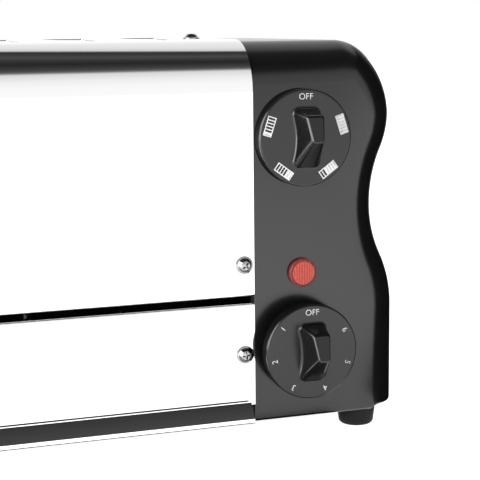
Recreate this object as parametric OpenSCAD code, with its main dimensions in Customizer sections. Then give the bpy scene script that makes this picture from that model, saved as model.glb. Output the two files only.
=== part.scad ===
// Six-slot counter toaster: a polished casing between two black end caps, with
// the controls on the right cap, the lift lever on the left cap and a crumb tray
// that slides out at the front. Front faces -Y, up is +Z, the counter is Z = 0.

/* [Overall] */
// Width over both end caps
total_w = 460; // [450:1:480]
// Height from the counter to the top of the casing
total_h = 225; // [222:1:232]
// Depth of the casing without knobs
body_d = 190; // [188:1:200]
// Height of the rubber feet
foot_h = 15; // [12:1:16]

/* [Casing] */
// Thickness of the polished sheet
sheet = 1.2; // [0.8:0.1:1.5]
// Thickness of the inner steel plates
plate = 1.5; // [1:0.1:2]
// Radius of the rounded top edges at front and rear
bullnose_r = 28; // [26:1:28]
// Height of the casing's lower edge
wrap_z = 86.3; // [85:0.1:90]
// Dark gap between the casing and the lower panel
panel_gap = 3.6; // [2:0.1:5]
// Height of the lower front panel's bottom edge
panel_z = 24; // [23:0.5:26]

/* [Bread slots] */
// Width of one slot
slot_w = 28; // [25:0.5:28]
// Length of one slot, front to rear
slot_l = 130; // [124:1:130]
// Sheet left between the outer slots and the casing's ends
end_strip = 11; // [10:0.5:12]
// Corner radius of a slot
slot_r = 1.6; // [0.5:0.1:4]

/* [End caps] */
// Width of one end cap
cap_w = 87.5; // [86:0.5:90]
// Wall thickness of the moulding
cap_wall = 3; // [2.5:0.1:3.5]
// How far the cap lies behind the polished sheet
cap_setback = 1; // [0.8:0.1:1.2]
// Radius of the rolled front and rear edges
edge_r = 17; // [14:1:18]
// Height where the straight side ends
shoulder_z = 74; // [70:1:78]
// Height of the waist
waist_z = 133; // [130:1:136]
// Depth of the waist
waist_in = 13.3; // [10:0.1:15]
// Distance of the upper bulge below the top
bulge_down = 41; // [39:1:43]
// How far the upper bulge stays inside the side
bulge_in = 2.5; // [1:0.1:4]
// Radius of the upper corner on its outer half
corner_r = 47; // [44:1:48]
// Radius of the lower corner
heel_r = 3; // [2:0.5:4]
// How far the lower edge lifts towards the side
heel_rise = 2; // [1:0.1:2.2]

/* [Controls] */
// Diameter of a control knob
knob_d = 53.4; // [48:0.2:54]
// Height of a knob's skirt
skirt_h = 8; // [7:0.5:9]
// Distance of the selector axis below the top
selector_down = 52.3; // [51:0.1:55]
// Height of the timer axis
timer_z = 55.5; // [54:0.1:58]
// Height of the neon lamp
lamp_z = 97.6; // [95:0.1:100]
// Distance of the selector axis from the side
selector_in = 60.8; // [59:0.1:62]
// Distance of the timer axis from the side
timer_in = 58.6; // [57:0.1:62]
// Distance of the neon lamp from the side
lamp_in = 59.4; // [57:0.1:62]
// Space between the selector knob and the cap
selector_gap = 2.6; // [2.5:0.1:4]
// Space between the timer knob and the cap
timer_gap = 5.7; // [4:0.1:6]
// Highest point of a knob's grip above the skirt
grip_h = 19.8; // [18:0.1:21]
// Length of a grip
grip_l = 32.5; // [28:0.5:36]
// Width of a grip at its base
grip_w = 14.6; // [12:0.2:16]
// Diameter of the control shafts
shaft_d = 6; // [5:0.5:6]
// Diameter of the neon lens
lamp_d = 15.8; // [14:0.2:16]
// How far the lens stands out of the cap
lamp_out = 3; // [2:0.5:4]

/* [Crumb tray] */
// Depth of the tray's inside
tray_h = 5.5; // [4.5:0.1:5.5]
// How far the tray's lip reaches in front of the casing
lip_out = 8; // [7:0.5:9]
// Height of the lip's upper edge
lip_z = 27.6; // [27:0.1:28.5]

/* [Bread lift] */
// Travel of the bread lift
lift_travel = 45; // [35:1:45]
// Height of the lift rails at rest
rail_z = 66; // [64:1:66]
// Height of a lift rail
rail_h = 8; // [6:1:8]
// Diameter of the guide rods
guide_d = 6; // [5:0.5:7]
// Diameter of the lever knob
lever_knob_d = 22; // [18:1:24]

/* [Feet and fasteners] */
// Diameter of a foot at its top
foot_d = 23.4; // [22:0.2:26]
// Diameter of a foot at the counter
foot_tip_d = 20.4; // [19:0.2:22]
// Distance of a foot's centre from the side
foot_in = 15.5; // [14.5:0.5:20]
// Distance of a foot's centre from the casing's front or rear
foot_back = 27; // [26:0.5:34]
// Rounding of a foot's lower edge
foot_round = 2.5; // [1:0.5:3]
// Diameter of the pan-head screws
screw_d = 4; // [3.5:0.1:4]
// Head diameter of the pan-head screws
screw_head_d = 8.6; // [8:0.1:9]
// Height of the upper front screws
upper_screw_z = 104; // [102:1:110]
// Height of the lower front screws
lower_screw_z = 54; // [48:1:60]
// Distance of the casing screws from the casing's end
screw_in = 5.7; // [5.2:0.1:6]

/* [Hidden] */
$fn = 64;
eps = 0.5;
fit = 0.3;
run_fit = 0.05;
hole_fit = 0.2;
slot_count = 6;
element_count = slot_count + 1;
arc_steps = 16;

side_x = total_w / 2;
seam_x = side_x - cap_w;
front_y = -body_d / 2;
base_z = foot_h;
base_top = base_z + plate;
inner_x = seam_x - plate;
panel_top = wrap_z - panel_gap;
screw_x = seam_x - screw_in;
cap_front = front_y + cap_setback;
cap_inner = cap_front + cap_wall;
cap_top = total_h - cap_setback;
bulge_z = total_h - bulge_down;
selector_z = total_h - selector_down;

// Rows of slots and of the heating elements beside them
bar_w = (2 * (seam_x - end_strip) - slot_count * slot_w) / (slot_count - 1);
slot_pitch = slot_w + bar_w;
wall_gap = 2.2;
function slot_x(i) = slot_pitch * (i - (slot_count + 1) / 2);
function element_x(i) = i == 1 ? wall_gap - inner_x
    : i == element_count ? inner_x - wall_gap
    : slot_pitch * (i - (element_count + 1) / 2);

// Toasting chamber
shield_t = 1;
shield_clear = 5;
shield_rise = 17;
shield_drop = 3;
shield_y = slot_l / 2 + shield_clear;
shield_z0 = base_z + shield_rise;
shield_z1 = total_h - sheet - shield_drop;
comb_h = 12;
comb_d = 8;
comb_notch = 6;
comb_rise = 23;
comb_inset = 4;
comb_z = base_z + comb_rise;
comb_top = comb_z + comb_h;
comb_y = shield_y - comb_inset;
board_t = 1.2;
board_fit = 0.15;
board_short = 2;
board_drop = 21;
board_l = slot_l - board_short;
board_z0 = comb_top - comb_notch;
board_z1 = total_h - board_drop;
ribbon_t = 0.4;
ribbon_w = 3;
ribbon_turns = 12;
ribbon_margin = 10;
wire_d = 2;
guard_clear = 0.2;
guard_weld = 1.4;
guard_rise = 4;
guard_drop = 11;
guard_off = slot_w / 2 + guard_clear + wire_d / 2;
guard_z0 = comb_top + guard_rise;
guard_z1 = total_h - guard_drop;
guard_rows = [0.08, 0.5, 0.92];
guard_posts = 5;
guard_reach = 0.74;

// Bread lift
rail_t = 3;
rail_clear = 5;
rail_reach = 16;
rail_over = 8;
rail_y = shield_y + shield_t + rail_clear;
rail_end_x = seam_x + rail_reach;
rail_stop_x = slot_x(slot_count) + rail_over;
rest_t = 3;
rest_h = 5;
rest_room = 2;
finger_inset = 4;
finger_l = slot_w - 2 * finger_inset;
finger_h = 3;
finger_count = 5;
rest_top = rail_z + rail_h + finger_h;
lift_room = 2;
carrier_t = 3;
carrier_gap = 8;
carrier_w = 30;
carrier_x0 = seam_x + carrier_gap;
carrier_x1 = carrier_x0 + carrier_w;
guide_gap = 19;
guide_inset = 15;
guide_x = seam_x + guide_gap;
guide_y = slot_l / 2 - guide_inset;
bush_wall = 2;
bush_r = guide_d / 2 + bush_wall;
bush_h = 9;
bush_collar = 1.5;
bracket_t = 3;
bracket_w = 30;
bracket_edge = 6;
bracket_below = 20;
bracket_above = 30;
bracket_z0 = rail_z - bracket_below;
bracket_z1 = rail_z + lift_travel + bracket_above;
lever_x = side_x - selector_in;
lever_w = 8;
lever_h = 6;
lever_clear = 8;
lever_tail = guide_y + lever_clear;
lever_nose = 8;
lever_room = 1.5;
lever_knob_l = 22;
lever_knob_gap = 6;
lever_knob_rim = 4;
lever_knob_neck = 0.6;
lever_knob_y = cap_front - lever_knob_gap;

// Controls
selector_x = side_x - selector_in;
timer_x = side_x - timer_in;
lamp_x = side_x - lamp_in;
selector_face = cap_front - selector_gap - skirt_h;
timer_face = cap_front - timer_gap - skirt_h;
knob_wall = 2.5;
knob_chamfer = 0.8;
hub_r = 8;
seat_depth = 6.5;
nut_t = 2;
nut_r = 7.2;
neck_r = 4.8;
neck_hole_r = neck_r + hole_fit;
shaft_r = shaft_d / 2;
grip_low = 0.72;
grip_crest = [0.4, -0.052];
grip_crest_w = [0.72, 0.45];
grip_waist = 0.2;
grip_points = 32;
grip_corner = 0.45;
switch_w = 34;
switch_l = 28;
lug_w = 3;
lug_l = 9;
shaft_short = 3;
shaft_end_gap = 1;
timer_can_r = 22;
timer_can_l = 34;
bell_r = 19;
bell_h = 10;
bell_wall = 1;
bell_post_r = 3;
lamp_body_r = 6.2;
lamp_hole_r = lamp_body_r + hole_fit;
lamp_body_l = 24;
lamp_pin_r = 1.2;
lamp_pin_l = 7.2;
lamp_pin_x = 2.4;

// Supply
gland_in = 50;
gland_z = 45;
gland_hole_r = 8.1;
gland_neck_r = 8;
gland_bore_r = 4;
gland_hex_r = 11.5;
gland_hex_l = 7;
gland_cap_r = 9.5;
gland_cap_l = 8;
gland_tail = 9;
gland_nut_l = 5;
block_size = [18, 44, 16];
block_back = 73;
block_y = body_d / 2 - block_back;
block_z = 52;
block_ways = 3;
block_bore_r = 2;
wire_r = 1.3;
wire_elbow_r = 1.5;
wire_seat = 4;
wire_rise = 12;
wire_hole_r = 6;

// Tray
tray_sheet = 1;
tray_side_gap = 9;
tray_rear_gap = 8;
tray_front_gap = 4;
tray_half = seam_x - tray_side_gap;
tray_rear = body_d / 2 - tray_rear_gap;
tray_floor = base_top + fit;
tray_front = front_y + tray_front_gap;
lip_side_gap = 3;
lip_foot = 2.3;
lip_half = seam_x - lip_side_gap;
lip_foot_z = tray_floor + lip_foot;
lip_bow = 0.2;
lip_steps = 8;
runner_t = 2;
runner_h = 6;

// Fasteners
tab_w = 8.5;
tab_h = 14;
tab_t = 2;
flange = 8;
head_h = 2.8;
shank_l = 8;
screw_spare = 3;
cross_w = 1.1;
cross_l = 4.6;
cross_depth = 1.6;
boss_y = 45;
boss_w = 12;
boss_l = 14;
boss_rise = 21;
boss_drop = 13;
boss_z = [base_z + boss_rise, total_h - boss_drop];
pilot_r = screw_d / 2 + run_fit;
foot_hole_r = screw_d / 2 + hole_fit;
recess_room = 0.5;
foot_recess_r = screw_head_d / 2 + recess_room;
foot_recess = 7;
foot_x = side_x - foot_in;
foot_y = body_d / 2 - foot_back;

// The model is centred front to rear between the timer grip and the cord gland
front_reach = -(timer_face - grip_h);
rear_reach = body_d / 2 - cap_setback + gland_hex_l + gland_cap_l;
depth_shift = (front_reach - rear_reach) / 2;

function arc(cx, cz, r, a0, a1, n) =
    [for (i = [0:n]) let (a = a0 + (a1 - a0) * i / n) [cx + r * cos(a), cz + r * sin(a)]];

module seat() { translate([0, depth_shift, 0]) children(); }

module span(a, b) { translate(a) cube(b - a); }

module along_x(x0, x1) { translate([x0, 0, 0]) rotate([90, 0, 90]) linear_extrude(x1 - x0) children(); }

module rod_x(r, x0, x1) { translate([x0, 0, 0]) rotate([0, 90, 0]) cylinder(r = r, h = x1 - x0); }

module rod_y(r, y0, y1) { translate([0, y1, 0]) rotate([90, 0, 0]) cylinder(r = r, h = y1 - y0); }

module both_sides() {
    children();
    mirror([1, 0, 0]) children();
}

module both_ends() {
    children();
    mirror([0, 1, 0]) children();
}

// Casing
function wrap_section(inset, z0) =
    let (r = bullnose_r - inset, d = body_d / 2 - inset, z1 = total_h - inset)
    concat([[-d, z0]], arc(r - d, z1 - r, r, 180, 90, arc_steps),
           arc(d - r, z1 - r, r, 90, 0, arc_steps), [[d, z0]]);

module slot_cutter() {
    half_w = slot_w / 2;
    half_l = slot_l / 2;
    z0 = total_h - sheet - eps;
    z1 = total_h + eps;
    span([slot_r - half_w, -half_l, z0], [half_w - slot_r, half_l, z1]);
    span([-half_w, slot_r - half_l, z0], [half_w, half_l - slot_r, z1]);
    for (x = [slot_r - half_w, half_w - slot_r], y = [slot_r - half_l, half_l - slot_r])
        translate([x, y, z0]) cylinder(r = slot_r, h = z1 - z0);
}

module side_screw_holes(z, r) {
    both_sides() translate([screw_x, 0, z]) rod_y(r, front_y - eps, front_y + shank_l);
}

module casing_wrap() {
    color("silver") difference() {
        along_x(-seam_x, seam_x) difference() {
            polygon(wrap_section(0, wrap_z));
            polygon(wrap_section(sheet, wrap_z - eps));
        }
        for (i = [1:slot_count]) translate([slot_x(i), 0, 0]) slot_cutter();
        both_ends() side_screw_holes(upper_screw_z, pilot_r);
        both_sides() translate([screw_x, 0, total_h - shank_l]) cylinder(r = pilot_r, h = 2 * shank_l);
    }
}

// The top flange of a lower panel ends between the bulkheads
module lower_panel(z0) {
    flange_x = inner_x - fit;
    color("silver") difference() {
        union() {
            span([-seam_x, front_y, z0], [seam_x, front_y + sheet, panel_top]);
            span([-flange_x, front_y, panel_top - sheet], [flange_x, front_y + flange, panel_top]);
        }
        side_screw_holes(lower_screw_z, pilot_r);
    }
}

module lower_front_panel() { lower_panel(panel_z); }

module lower_rear_panel() { mirror([0, 1, 0]) lower_panel(base_top); }

module base_plate() {
    inset = sheet + fit;
    color("dimgray") span([-seam_x, front_y + inset, base_z], [seam_x, -front_y - inset, base_top]);
}

// Bulkheads close the end caps and carry the casing screws on bent tabs
module front_tab(z) {
    y0 = front_y + sheet;
    span([inner_x - tab_w, y0, z - tab_h / 2], [seam_x - plate / 2, y0 + tab_t, z + tab_h / 2]);
}

module bulkhead() {
    z1 = total_h - sheet;
    difference() {
        union() {
            along_x(inner_x, seam_x) polygon(wrap_section(sheet + fit, base_top));
            both_ends() front_tab(upper_screw_z);
            both_ends() front_tab(lower_screw_z);
            span([inner_x - tab_w, -tab_h / 2, z1 - tab_t], [seam_x - plate / 2, tab_h / 2, z1]);
        }
        both_ends() side_screw_holes(upper_screw_z, pilot_r);
        both_ends() side_screw_holes(lower_screw_z, pilot_r);
        translate([screw_x, 0, total_h - shank_l - eps]) cylinder(r = pilot_r, h = 2 * shank_l);
        for (y = [-boss_y, boss_y], z = boss_z) translate([0, y, z])
            rod_x(pilot_r, inner_x - eps, seam_x + eps);
    }
}

module right_bulkhead() {
    color("gray") difference() {
        bulkhead();
        translate([0, 0, comb_z]) rod_x(wire_hole_r, inner_x - eps, seam_x + eps);
    }
}

module left_bulkhead() {
    y0 = rail_y - lift_room;
    y1 = rail_y + rail_t + lift_room;
    color("gray") mirror([1, 0, 0]) difference() {
        bulkhead();
        both_ends() span([inner_x - eps, y0, rail_z - lift_room],
                         [seam_x + eps, y1, rail_z + rail_h + lift_travel + lift_room]);
    }
}

module front_shield() {
    rest_gap = rest_t / 2 + rest_room;
    z0 = rail_z - lift_room;
    z1 = rail_z + rail_h + lift_travel + lift_room;
    color("gainsboro") difference() {
        span([-inner_x, -shield_y - shield_t, shield_z0], [inner_x, -shield_y, shield_z1]);
        for (i = [1:slot_count]) translate([slot_x(i), 0, 0])
            span([-rest_gap, -shield_y - shield_t - eps, z0], [rest_gap, eps - shield_y, z1]);
    }
}

module rear_shield() { mirror([0, 1, 0]) front_shield(); }

// Heating elements: mica boards in notched combs, each wound with one ribbon
module element_combs() {
    color("gray") both_ends() difference() {
        span([-inner_x, -comb_y, comb_z], [inner_x, comb_d - comb_y, comb_top]);
        for (i = [1:element_count]) translate([element_x(i), 0, 0])
            span([-board_t / 2 - board_fit, -comb_y - eps, board_z0],
                 [board_t / 2 + board_fit, comb_d - comb_y + eps, comb_top + eps]);
    }
}

module ribbon_turn(z, rise) {
    inner = board_t / 2;
    outer = inner + ribbon_t;
    edge = board_l / 2;
    span([inner, -edge - ribbon_t, z], [outer, edge + ribbon_t, z + ribbon_w]);
    span([-outer, -edge - ribbon_t, z], [-inner, edge + ribbon_t, z + ribbon_w]);
    span([-outer, edge, z], [outer, edge + ribbon_t, z + ribbon_w]);
    if (rise > 0) span([-outer, -edge - ribbon_t, z], [-inner, -edge, z + rise + ribbon_w]);
}

module mica_board(i) {
    color("tan") translate([element_x(i), 0, 0])
        span([-board_t / 2, -board_l / 2, board_z0], [board_t / 2, board_l / 2, board_z1]);
}

module heating_ribbons() {
    z0 = comb_top + ribbon_margin;
    rise = (board_z1 - ribbon_margin - z0) / ribbon_turns;
    color("darkgray") for (i = [1:element_count], n = [1:ribbon_turns]) translate([element_x(i), 0, 0])
        ribbon_turn(z0 + rise * (n - 1), n < ribbon_turns ? rise : 0);
}

// Wire guards keep the bread off the elements
module guard_side() {
    for (row = guard_rows) translate([guard_off + guard_weld, 0, guard_z0 + row * (guard_z1 - guard_z0)])
        rod_y(wire_d / 2, -shield_y, shield_y);
    for (n = [1:guard_posts]) {
        y = guard_reach * slot_l * ((n - 1) / (guard_posts - 1) - 1 / 2);
        translate([guard_off, y, guard_z0]) cylinder(d = wire_d, h = guard_z1 - guard_z0);
    }
}

module bread_guard(i) {
    color("silver") translate([slot_x(i), 0, 0]) both_sides() guard_side();
}

// Bread lift
module bread_rest(i) {
    z1 = rail_z + rail_h;
    color("silver") translate([slot_x(i), 0, 0]) {
        span([-rest_t / 2, -rail_y, z1 - rest_h], [rest_t / 2, rail_y, z1]);
        for (n = [1:finger_count]) {
            y = guard_reach * slot_l * ((n - 1) / (finger_count - 1) - 1 / 2);
            span([-finger_l / 2, y - rest_t / 2, z1 - rest_h / 2], [finger_l / 2, y + rest_t / 2, rest_top]);
        }
    }
}

module lift_rails() {
    color("gray") both_ends()
        span([-rail_end_x, rail_y, rail_z], [rail_stop_x, rail_y + rail_t, rail_z + rail_h]);
}

module at_guides() {
    for (y = [-guide_y, guide_y]) translate([-guide_x, y, 0]) children();
}

module lift_carrier() {
    y1 = rail_y + rail_t;
    color("gray") difference() {
        span([-carrier_x1, -y1, rail_z - carrier_t], [-carrier_x0, y1, rail_z]);
        at_guides() translate([0, 0, rail_z - carrier_t - eps])
            cylinder(r = bush_r + run_fit, h = carrier_t + 2 * eps);
    }
}

module guide_bushes() {
    color("goldenrod") at_guides() difference() {
        translate([0, 0, rail_z - carrier_t - bush_h / 2]) {
            cylinder(r = bush_r, h = bush_h);
            cylinder(r = bush_r + bush_collar, h = bush_h / 2);
        }
        translate([0, 0, rail_z - 2 * bush_h]) cylinder(r = guide_d / 2 + run_fit, h = 4 * bush_h);
    }
}

module guide_rods() {
    color("silver") at_guides() translate([0, 0, bracket_z0])
        cylinder(d = guide_d, h = bracket_z1 + bracket_t - bracket_z0);
}

module guide_brackets() {
    y1 = guide_y + bush_r + bracket_edge;
    color("gray") for (z = [bracket_z0, bracket_z1]) difference() {
        span([-seam_x - bracket_w, -y1, z], [-seam_x, y1, z + bracket_t]);
        at_guides() translate([0, 0, z - eps]) cylinder(r = guide_d / 2 + run_fit, h = bracket_t + 2 * eps);
    }
}

module lift_lever() {
    color("silver") span([-lever_x - lever_w / 2, lever_knob_y - lever_nose, rail_z],
                         [-lever_x + lever_w / 2, -lever_tail, rail_z + lever_h]);
}

module lever_knob() {
    r = lever_knob_d / 2;
    rim = lever_knob_rim;
    nose = 2 * rim;
    half = lever_w / 2 + run_fit;
    color("black") difference() {
        translate([-lever_x, lever_knob_y, rail_z + lever_h / 2]) rotate([90, 0, 0]) rotate_extrude()
            polygon(concat([[0, 0], [r * lever_knob_neck, 0]], arc(r - rim, rim, rim, -60, 0, arc_steps / 4),
                           arc(r - nose, lever_knob_l - nose, nose, 0, 90, arc_steps / 2),
                           [[0, lever_knob_l]]));
        span([-lever_x - half, lever_knob_y - lever_nose, rail_z - run_fit],
             [-lever_x + half, lever_knob_y + eps, rail_z + lever_h + run_fit]);
    }
}

// End caps: a shell whose front and rear edges roll over a waved side
lower_turn = 2 * atan(waist_in / (waist_z - shoulder_z));
lower_r = (waist_z - shoulder_z) / (2 * sin(lower_turn));
upper_turn = 2 * atan((waist_in - bulge_in) / (bulge_z - waist_z));
upper_r = (bulge_z - waist_z) / sin(upper_turn);
hollow_share = 0.6;
hollow_r = hollow_share * upper_r;
crown_r = upper_r - hollow_r;
corner_turn = 45;
crest_r = (cap_top - bulge_z - corner_r * sin(corner_turn)) / (1 - sin(corner_turn));
crest_x = side_x - bulge_in - corner_r + (corner_r - crest_r) * cos(corner_turn);
wave_steps = 6;
roll_steps = 6;
corner_roll = 20;
seam_roll = bullnose_r - cap_setback;
top_steps = [0.35, 0.7, 1];
heel_w = 17;
heel_ramp = 4;

function turn(a) = [cos(a), sin(a)];

// Each entry is a point of the side's outline, its outward normal and the roll there
function bend(c, r, a0, a1, sense, roll0, roll1) =
    [for (i = [1:wave_steps]) let (t = i / wave_steps, a = a0 + (a1 - a0) * t)
        [c + r * turn(a), sense * turn(a), roll0 + (roll1 - roll0) * t]];

cap_outline = concat(
    [[[side_x, base_z], turn(0), edge_r], [[side_x, shoulder_z], turn(0), edge_r]],
    bend([side_x - lower_r, shoulder_z], lower_r, 0, lower_turn, 1, edge_r, edge_r),
    bend([side_x - waist_in + lower_r, waist_z], lower_r, 180 + lower_turn, 180, -1, edge_r, edge_r),
    bend([side_x - waist_in + hollow_r, waist_z], hollow_r, 180, 180 - upper_turn, -1, edge_r, edge_r),
    bend([side_x - bulge_in - crown_r, bulge_z], crown_r, -upper_turn, 0, 1, edge_r, edge_r),
    bend([side_x - bulge_in - corner_r, bulge_z], corner_r, 0, corner_turn, 1, edge_r, edge_r),
    bend([crest_x, cap_top - crest_r], crest_r, corner_turn, 90, 1, edge_r, corner_roll),
    [for (t = top_steps)
        [[crest_x + (seam_x - crest_x) * t, cap_top], turn(90),
         corner_roll + (seam_roll - corner_roll) * t]]);

function roll_points(p, inset, low) =
    let (edge = p[0] - inset * p[1], roll = p[2] - inset, y0 = cap_front + inset)
    [for (end = [0, 1], j = [0:roll_steps])
        let (a = 90 * (end == 0 ? 1 - j / roll_steps : j / roll_steps),
             q = edge - roll * (1 - cos(a)) * p[1],
             y = y0 + roll * (1 - sin(a)))
        [q[0], end == 0 ? y : -y, max(q[1], low)]];

module cap_solid(inset, low, mouth_x) {
    last = len(cap_outline) - 1;
    rows = last + 1;
    cols = 2 * (roll_steps + 1);
    skin = [for (i = [0:last], q = roll_points(cap_outline[i], inset, low))
        i == last ? [mouth_x, q[1], q[2]] : q];
    y0 = cap_front + inset;
    corners = [[mouth_x, y0, low], [mouth_x, -y0, low]];
    front_corner = rows * cols;
    rear_corner = front_corner + 1;
    quads = [for (i = [0:last - 1], j = [0:cols - 2])
        [i * cols + j, (i + 1) * cols + j, (i + 1) * cols + j + 1, i * cols + j + 1]];
    halves = [for (q = quads) each [[q[0], q[1], q[2]], [q[0], q[2], q[3]]]];
    front = concat([front_corner], [for (i = [0:last]) (last - i) * cols]);
    rear = concat([rear_corner], [for (i = [0:last]) i * cols + cols - 1]);
    mouth = concat([rear_corner], [for (j = [0:cols - 1]) last * cols + cols - 1 - j], [front_corner]);
    bottom = concat([for (j = [0:cols - 1]) j], [rear_corner, front_corner]);
    polyhedron(concat(skin, corners), concat(halves, [front, rear, mouth, bottom]));
}

module heel_cutter() {
    start = side_x - heel_w;
    low = base_z - heel_r;
    high = base_z + heel_rise + heel_r;
    translate([0, body_d, 0]) rotate([90, 0, 0]) linear_extrude(2 * body_d) polygon(concat(
        [[start, low], [start, base_z], [start + heel_ramp, base_z + heel_rise]],
        arc(side_x - heel_r, high, heel_r, -90, 0, arc_steps / 4),
        [[side_x + heel_r, high], [side_x + heel_r, low]]));
}

module cap_boss(y, z, z_wall) {
    span([seam_x, y - boss_w / 2, min(z - boss_w / 2, z_wall)],
         [seam_x + boss_l, y + boss_w / 2, max(z + boss_w / 2, z_wall)]);
}

module end_cap() {
    difference() {
        union() {
            difference() {
                cap_solid(0, base_z, seam_x);
                cap_solid(cap_wall, base_z + cap_wall, seam_x - eps);
            }
            for (y = [-boss_y, boss_y]) {
                cap_boss(y, boss_z[0], base_z + cap_wall / 2);
                cap_boss(y, boss_z[1], cap_top - cap_wall / 2);
            }
        }
        heel_cutter();
        for (y = [-boss_y, boss_y], z = boss_z) translate([0, y, z])
            rod_x(pilot_r, seam_x - eps, seam_x + boss_l + eps);
        for (y = [-foot_y, foot_y]) translate([foot_x, y, base_z - eps])
            cylinder(r = foot_hole_r, h = cap_wall + 2 * eps);
    }
}

module right_end_cap() {
    color([0.12, 0.12, 0.13]) difference() {
        end_cap();
        translate([selector_x, 0, selector_z]) rod_y(neck_hole_r, cap_front - eps, cap_inner + eps);
        translate([timer_x, 0, timer_z]) rod_y(neck_hole_r, cap_front - eps, cap_inner + eps);
        translate([lamp_x, 0, lamp_z]) rod_y(lamp_hole_r, cap_front - eps, cap_inner + eps);
        translate([side_x - gland_in, 0, gland_z]) rod_y(gland_hole_r, -cap_inner - eps, -cap_front + eps);
    }
}

module left_end_cap() {
    half_w = lever_w / 2 + lever_room;
    color([0.12, 0.12, 0.13]) difference() {
        mirror([1, 0, 0]) end_cap();
        span([-lever_x - half_w, cap_front - eps, rail_z - lift_room],
             [-lever_x + half_w, cap_inner + eps, rail_z + lever_h + lift_travel + lift_room]);
    }
}

// Feet
module at_feet() {
    for (x = [-foot_x, foot_x], y = [-foot_y, foot_y]) translate([x, y, 0]) children();
}

module feet() {
    flat_r = foot_tip_d / 2 - foot_round;
    color([0.08, 0.08, 0.08]) at_feet() difference() {
        rotate_extrude() polygon(concat([[0, 0]], arc(flat_r, foot_round, foot_round, -90, 0, arc_steps / 4),
                                        [[foot_d / 2, foot_h], [0, foot_h]]));
        translate([0, 0, -eps]) cylinder(r = foot_hole_r, h = foot_h + 2 * eps);
        translate([0, 0, -eps]) cylinder(r = foot_recess_r, h = foot_recess + eps);
    }
}

// Crumb tray and its runners
module tray_runners() {
    x0 = tray_half + fit;
    color("gray") both_sides()
        span([x0, -tray_rear, base_top], [x0 + runner_t, tray_rear, base_top + runner_h]);
}

// The lip's face bows out slightly between the tray's floor and its upper edge
lip_low = [front_y - lip_out, lip_foot_z];
lip_high = [front_y - fit - tray_sheet, lip_z];
function lip_point(t, inset) =
    let (run = lip_high - lip_low, across = [-run[1], run[0]] / norm(run))
    lip_low + run * t + across * (4 * lip_bow * t * (1 - t) - inset);

module crumb_tray() {
    z1 = tray_floor + tray_sheet;
    rim = z1 + tray_h;
    lip_face = [for (i = [0:lip_steps]) lip_point(i / lip_steps, 0)];
    lip_back = [for (i = [0:lip_steps]) lip_point(1 - i / lip_steps, tray_sheet)];
    color("silver") union() {
        difference() {
            span([-tray_half, tray_front, tray_floor], [tray_half, tray_rear, rim]);
            span([tray_sheet - tray_half, tray_front - eps, z1],
                 [tray_half - tray_sheet, tray_rear - tray_sheet, rim + eps]);
        }
        along_x(-lip_half, lip_half) polygon(concat(
            [[tray_front, tray_floor], [lip_low[0] + tray_sheet, tray_floor]], lip_face,
            [for (p = lip_back) [p[0], max(p[1], z1)]], [[tray_front, z1]]));
    }
}

// Knobs
function waisted(t) = 1 - grip_waist * pow(cos(t), 2);
function rounded(v, p) = sign(v) * pow(abs(v), p);

// A grip is a wedge between its waisted foot and a narrow inclined crest
module grip() {
    foot = [for (i = [0:grip_points - 1]) let (t = 360 * i / grip_points)
        let (u = rounded(cos(t), grip_corner), v = rounded(sin(t), grip_corner))
        [grip_w / 2 * u * waisted(90 * v), grip_l / 2 * v, -eps]];
    crest = [for (i = [0:grip_points - 1])
        let (t = 360 * i / grip_points, s = (rounded(sin(t), grip_corner) + 1) / 2,
             w = grip_crest_w[1] + (grip_crest_w[0] - grip_crest_w[1]) * s,
             z = grip_crest[1] + (grip_crest[0] - grip_crest[1]) * s,
             h = grip_h * (1 - (1 - grip_low) * s))
        [grip_w / 2 * w * rounded(cos(t), grip_corner), grip_l * z, h]];
    n = grip_points;
    sides = [for (i = [0:n - 1]) let (k = (i + 1) % n) each [[i, n + i, n + k], [i, n + k, k]]];
    ends = [[for (i = [0:n - 1]) i], [for (i = [1:n]) 2 * n - i]];
    polyhedron(concat(foot, crest), concat(sides, ends));
}

module knob() {
    r = knob_d / 2;
    difference() {
        union() {
            translate([0, 0, -skirt_h]) rotate_extrude() polygon([
                [0, 0], [r, 0], [r, skirt_h - knob_chamfer], [r - knob_chamfer, skirt_h], [0, skirt_h]]);
            grip();
        }
        difference() {
            translate([0, 0, -skirt_h - eps]) cylinder(r = r - knob_wall, h = skirt_h - knob_wall + eps);
            translate([0, 0, -skirt_h - 2 * eps]) cylinder(r = hub_r, h = skirt_h);
        }
        translate([0, 0, -skirt_h - eps]) cylinder(r = shaft_r + run_fit, h = seat_depth + eps);
    }
}

module facing_front(x, y, z) { translate([x, y, z]) rotate([90, 0, 0]) children(); }

module selector_knob() { color([0.1, 0.1, 0.1]) facing_front(selector_x, selector_face, selector_z) knob(); }

module timer_knob() { color([0.1, 0.1, 0.1]) facing_front(timer_x, timer_face, timer_z) knob(); }

// Switch and timer behind the knobs
module control_neck(depth) {
    difference() {
        union() {
            rod_y(neck_r, cap_front - nut_t, cap_inner + eps);
            children();
        }
        rod_y(shaft_r + run_fit, cap_front - nut_t - eps, cap_inner + depth - shaft_short + shaft_end_gap);
    }
}

module selector_switch() {
    half = switch_w / 2;
    lug = lug_w / 2;
    color("ivory") translate([selector_x, 0, selector_z]) control_neck(switch_l) {
        span([-half, cap_inner, -half], [half, cap_inner + switch_l, half]);
        for (x = [-half / 2, half / 2], z = [-half / 2, half / 2])
            span([x - lug, cap_inner + switch_l - eps, z - lug],
                 [x + lug, cap_inner + switch_l + lug_l, z + lug]);
    }
}

module timer_unit() {
    color("gainsboro") translate([timer_x, 0, timer_z]) control_neck(timer_can_l) {
        rod_y(timer_can_r, cap_inner, cap_inner + timer_can_l);
        rod_y(bell_post_r, cap_inner + timer_can_l - eps, cap_inner + timer_can_l + bell_h);
    }
}

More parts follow.
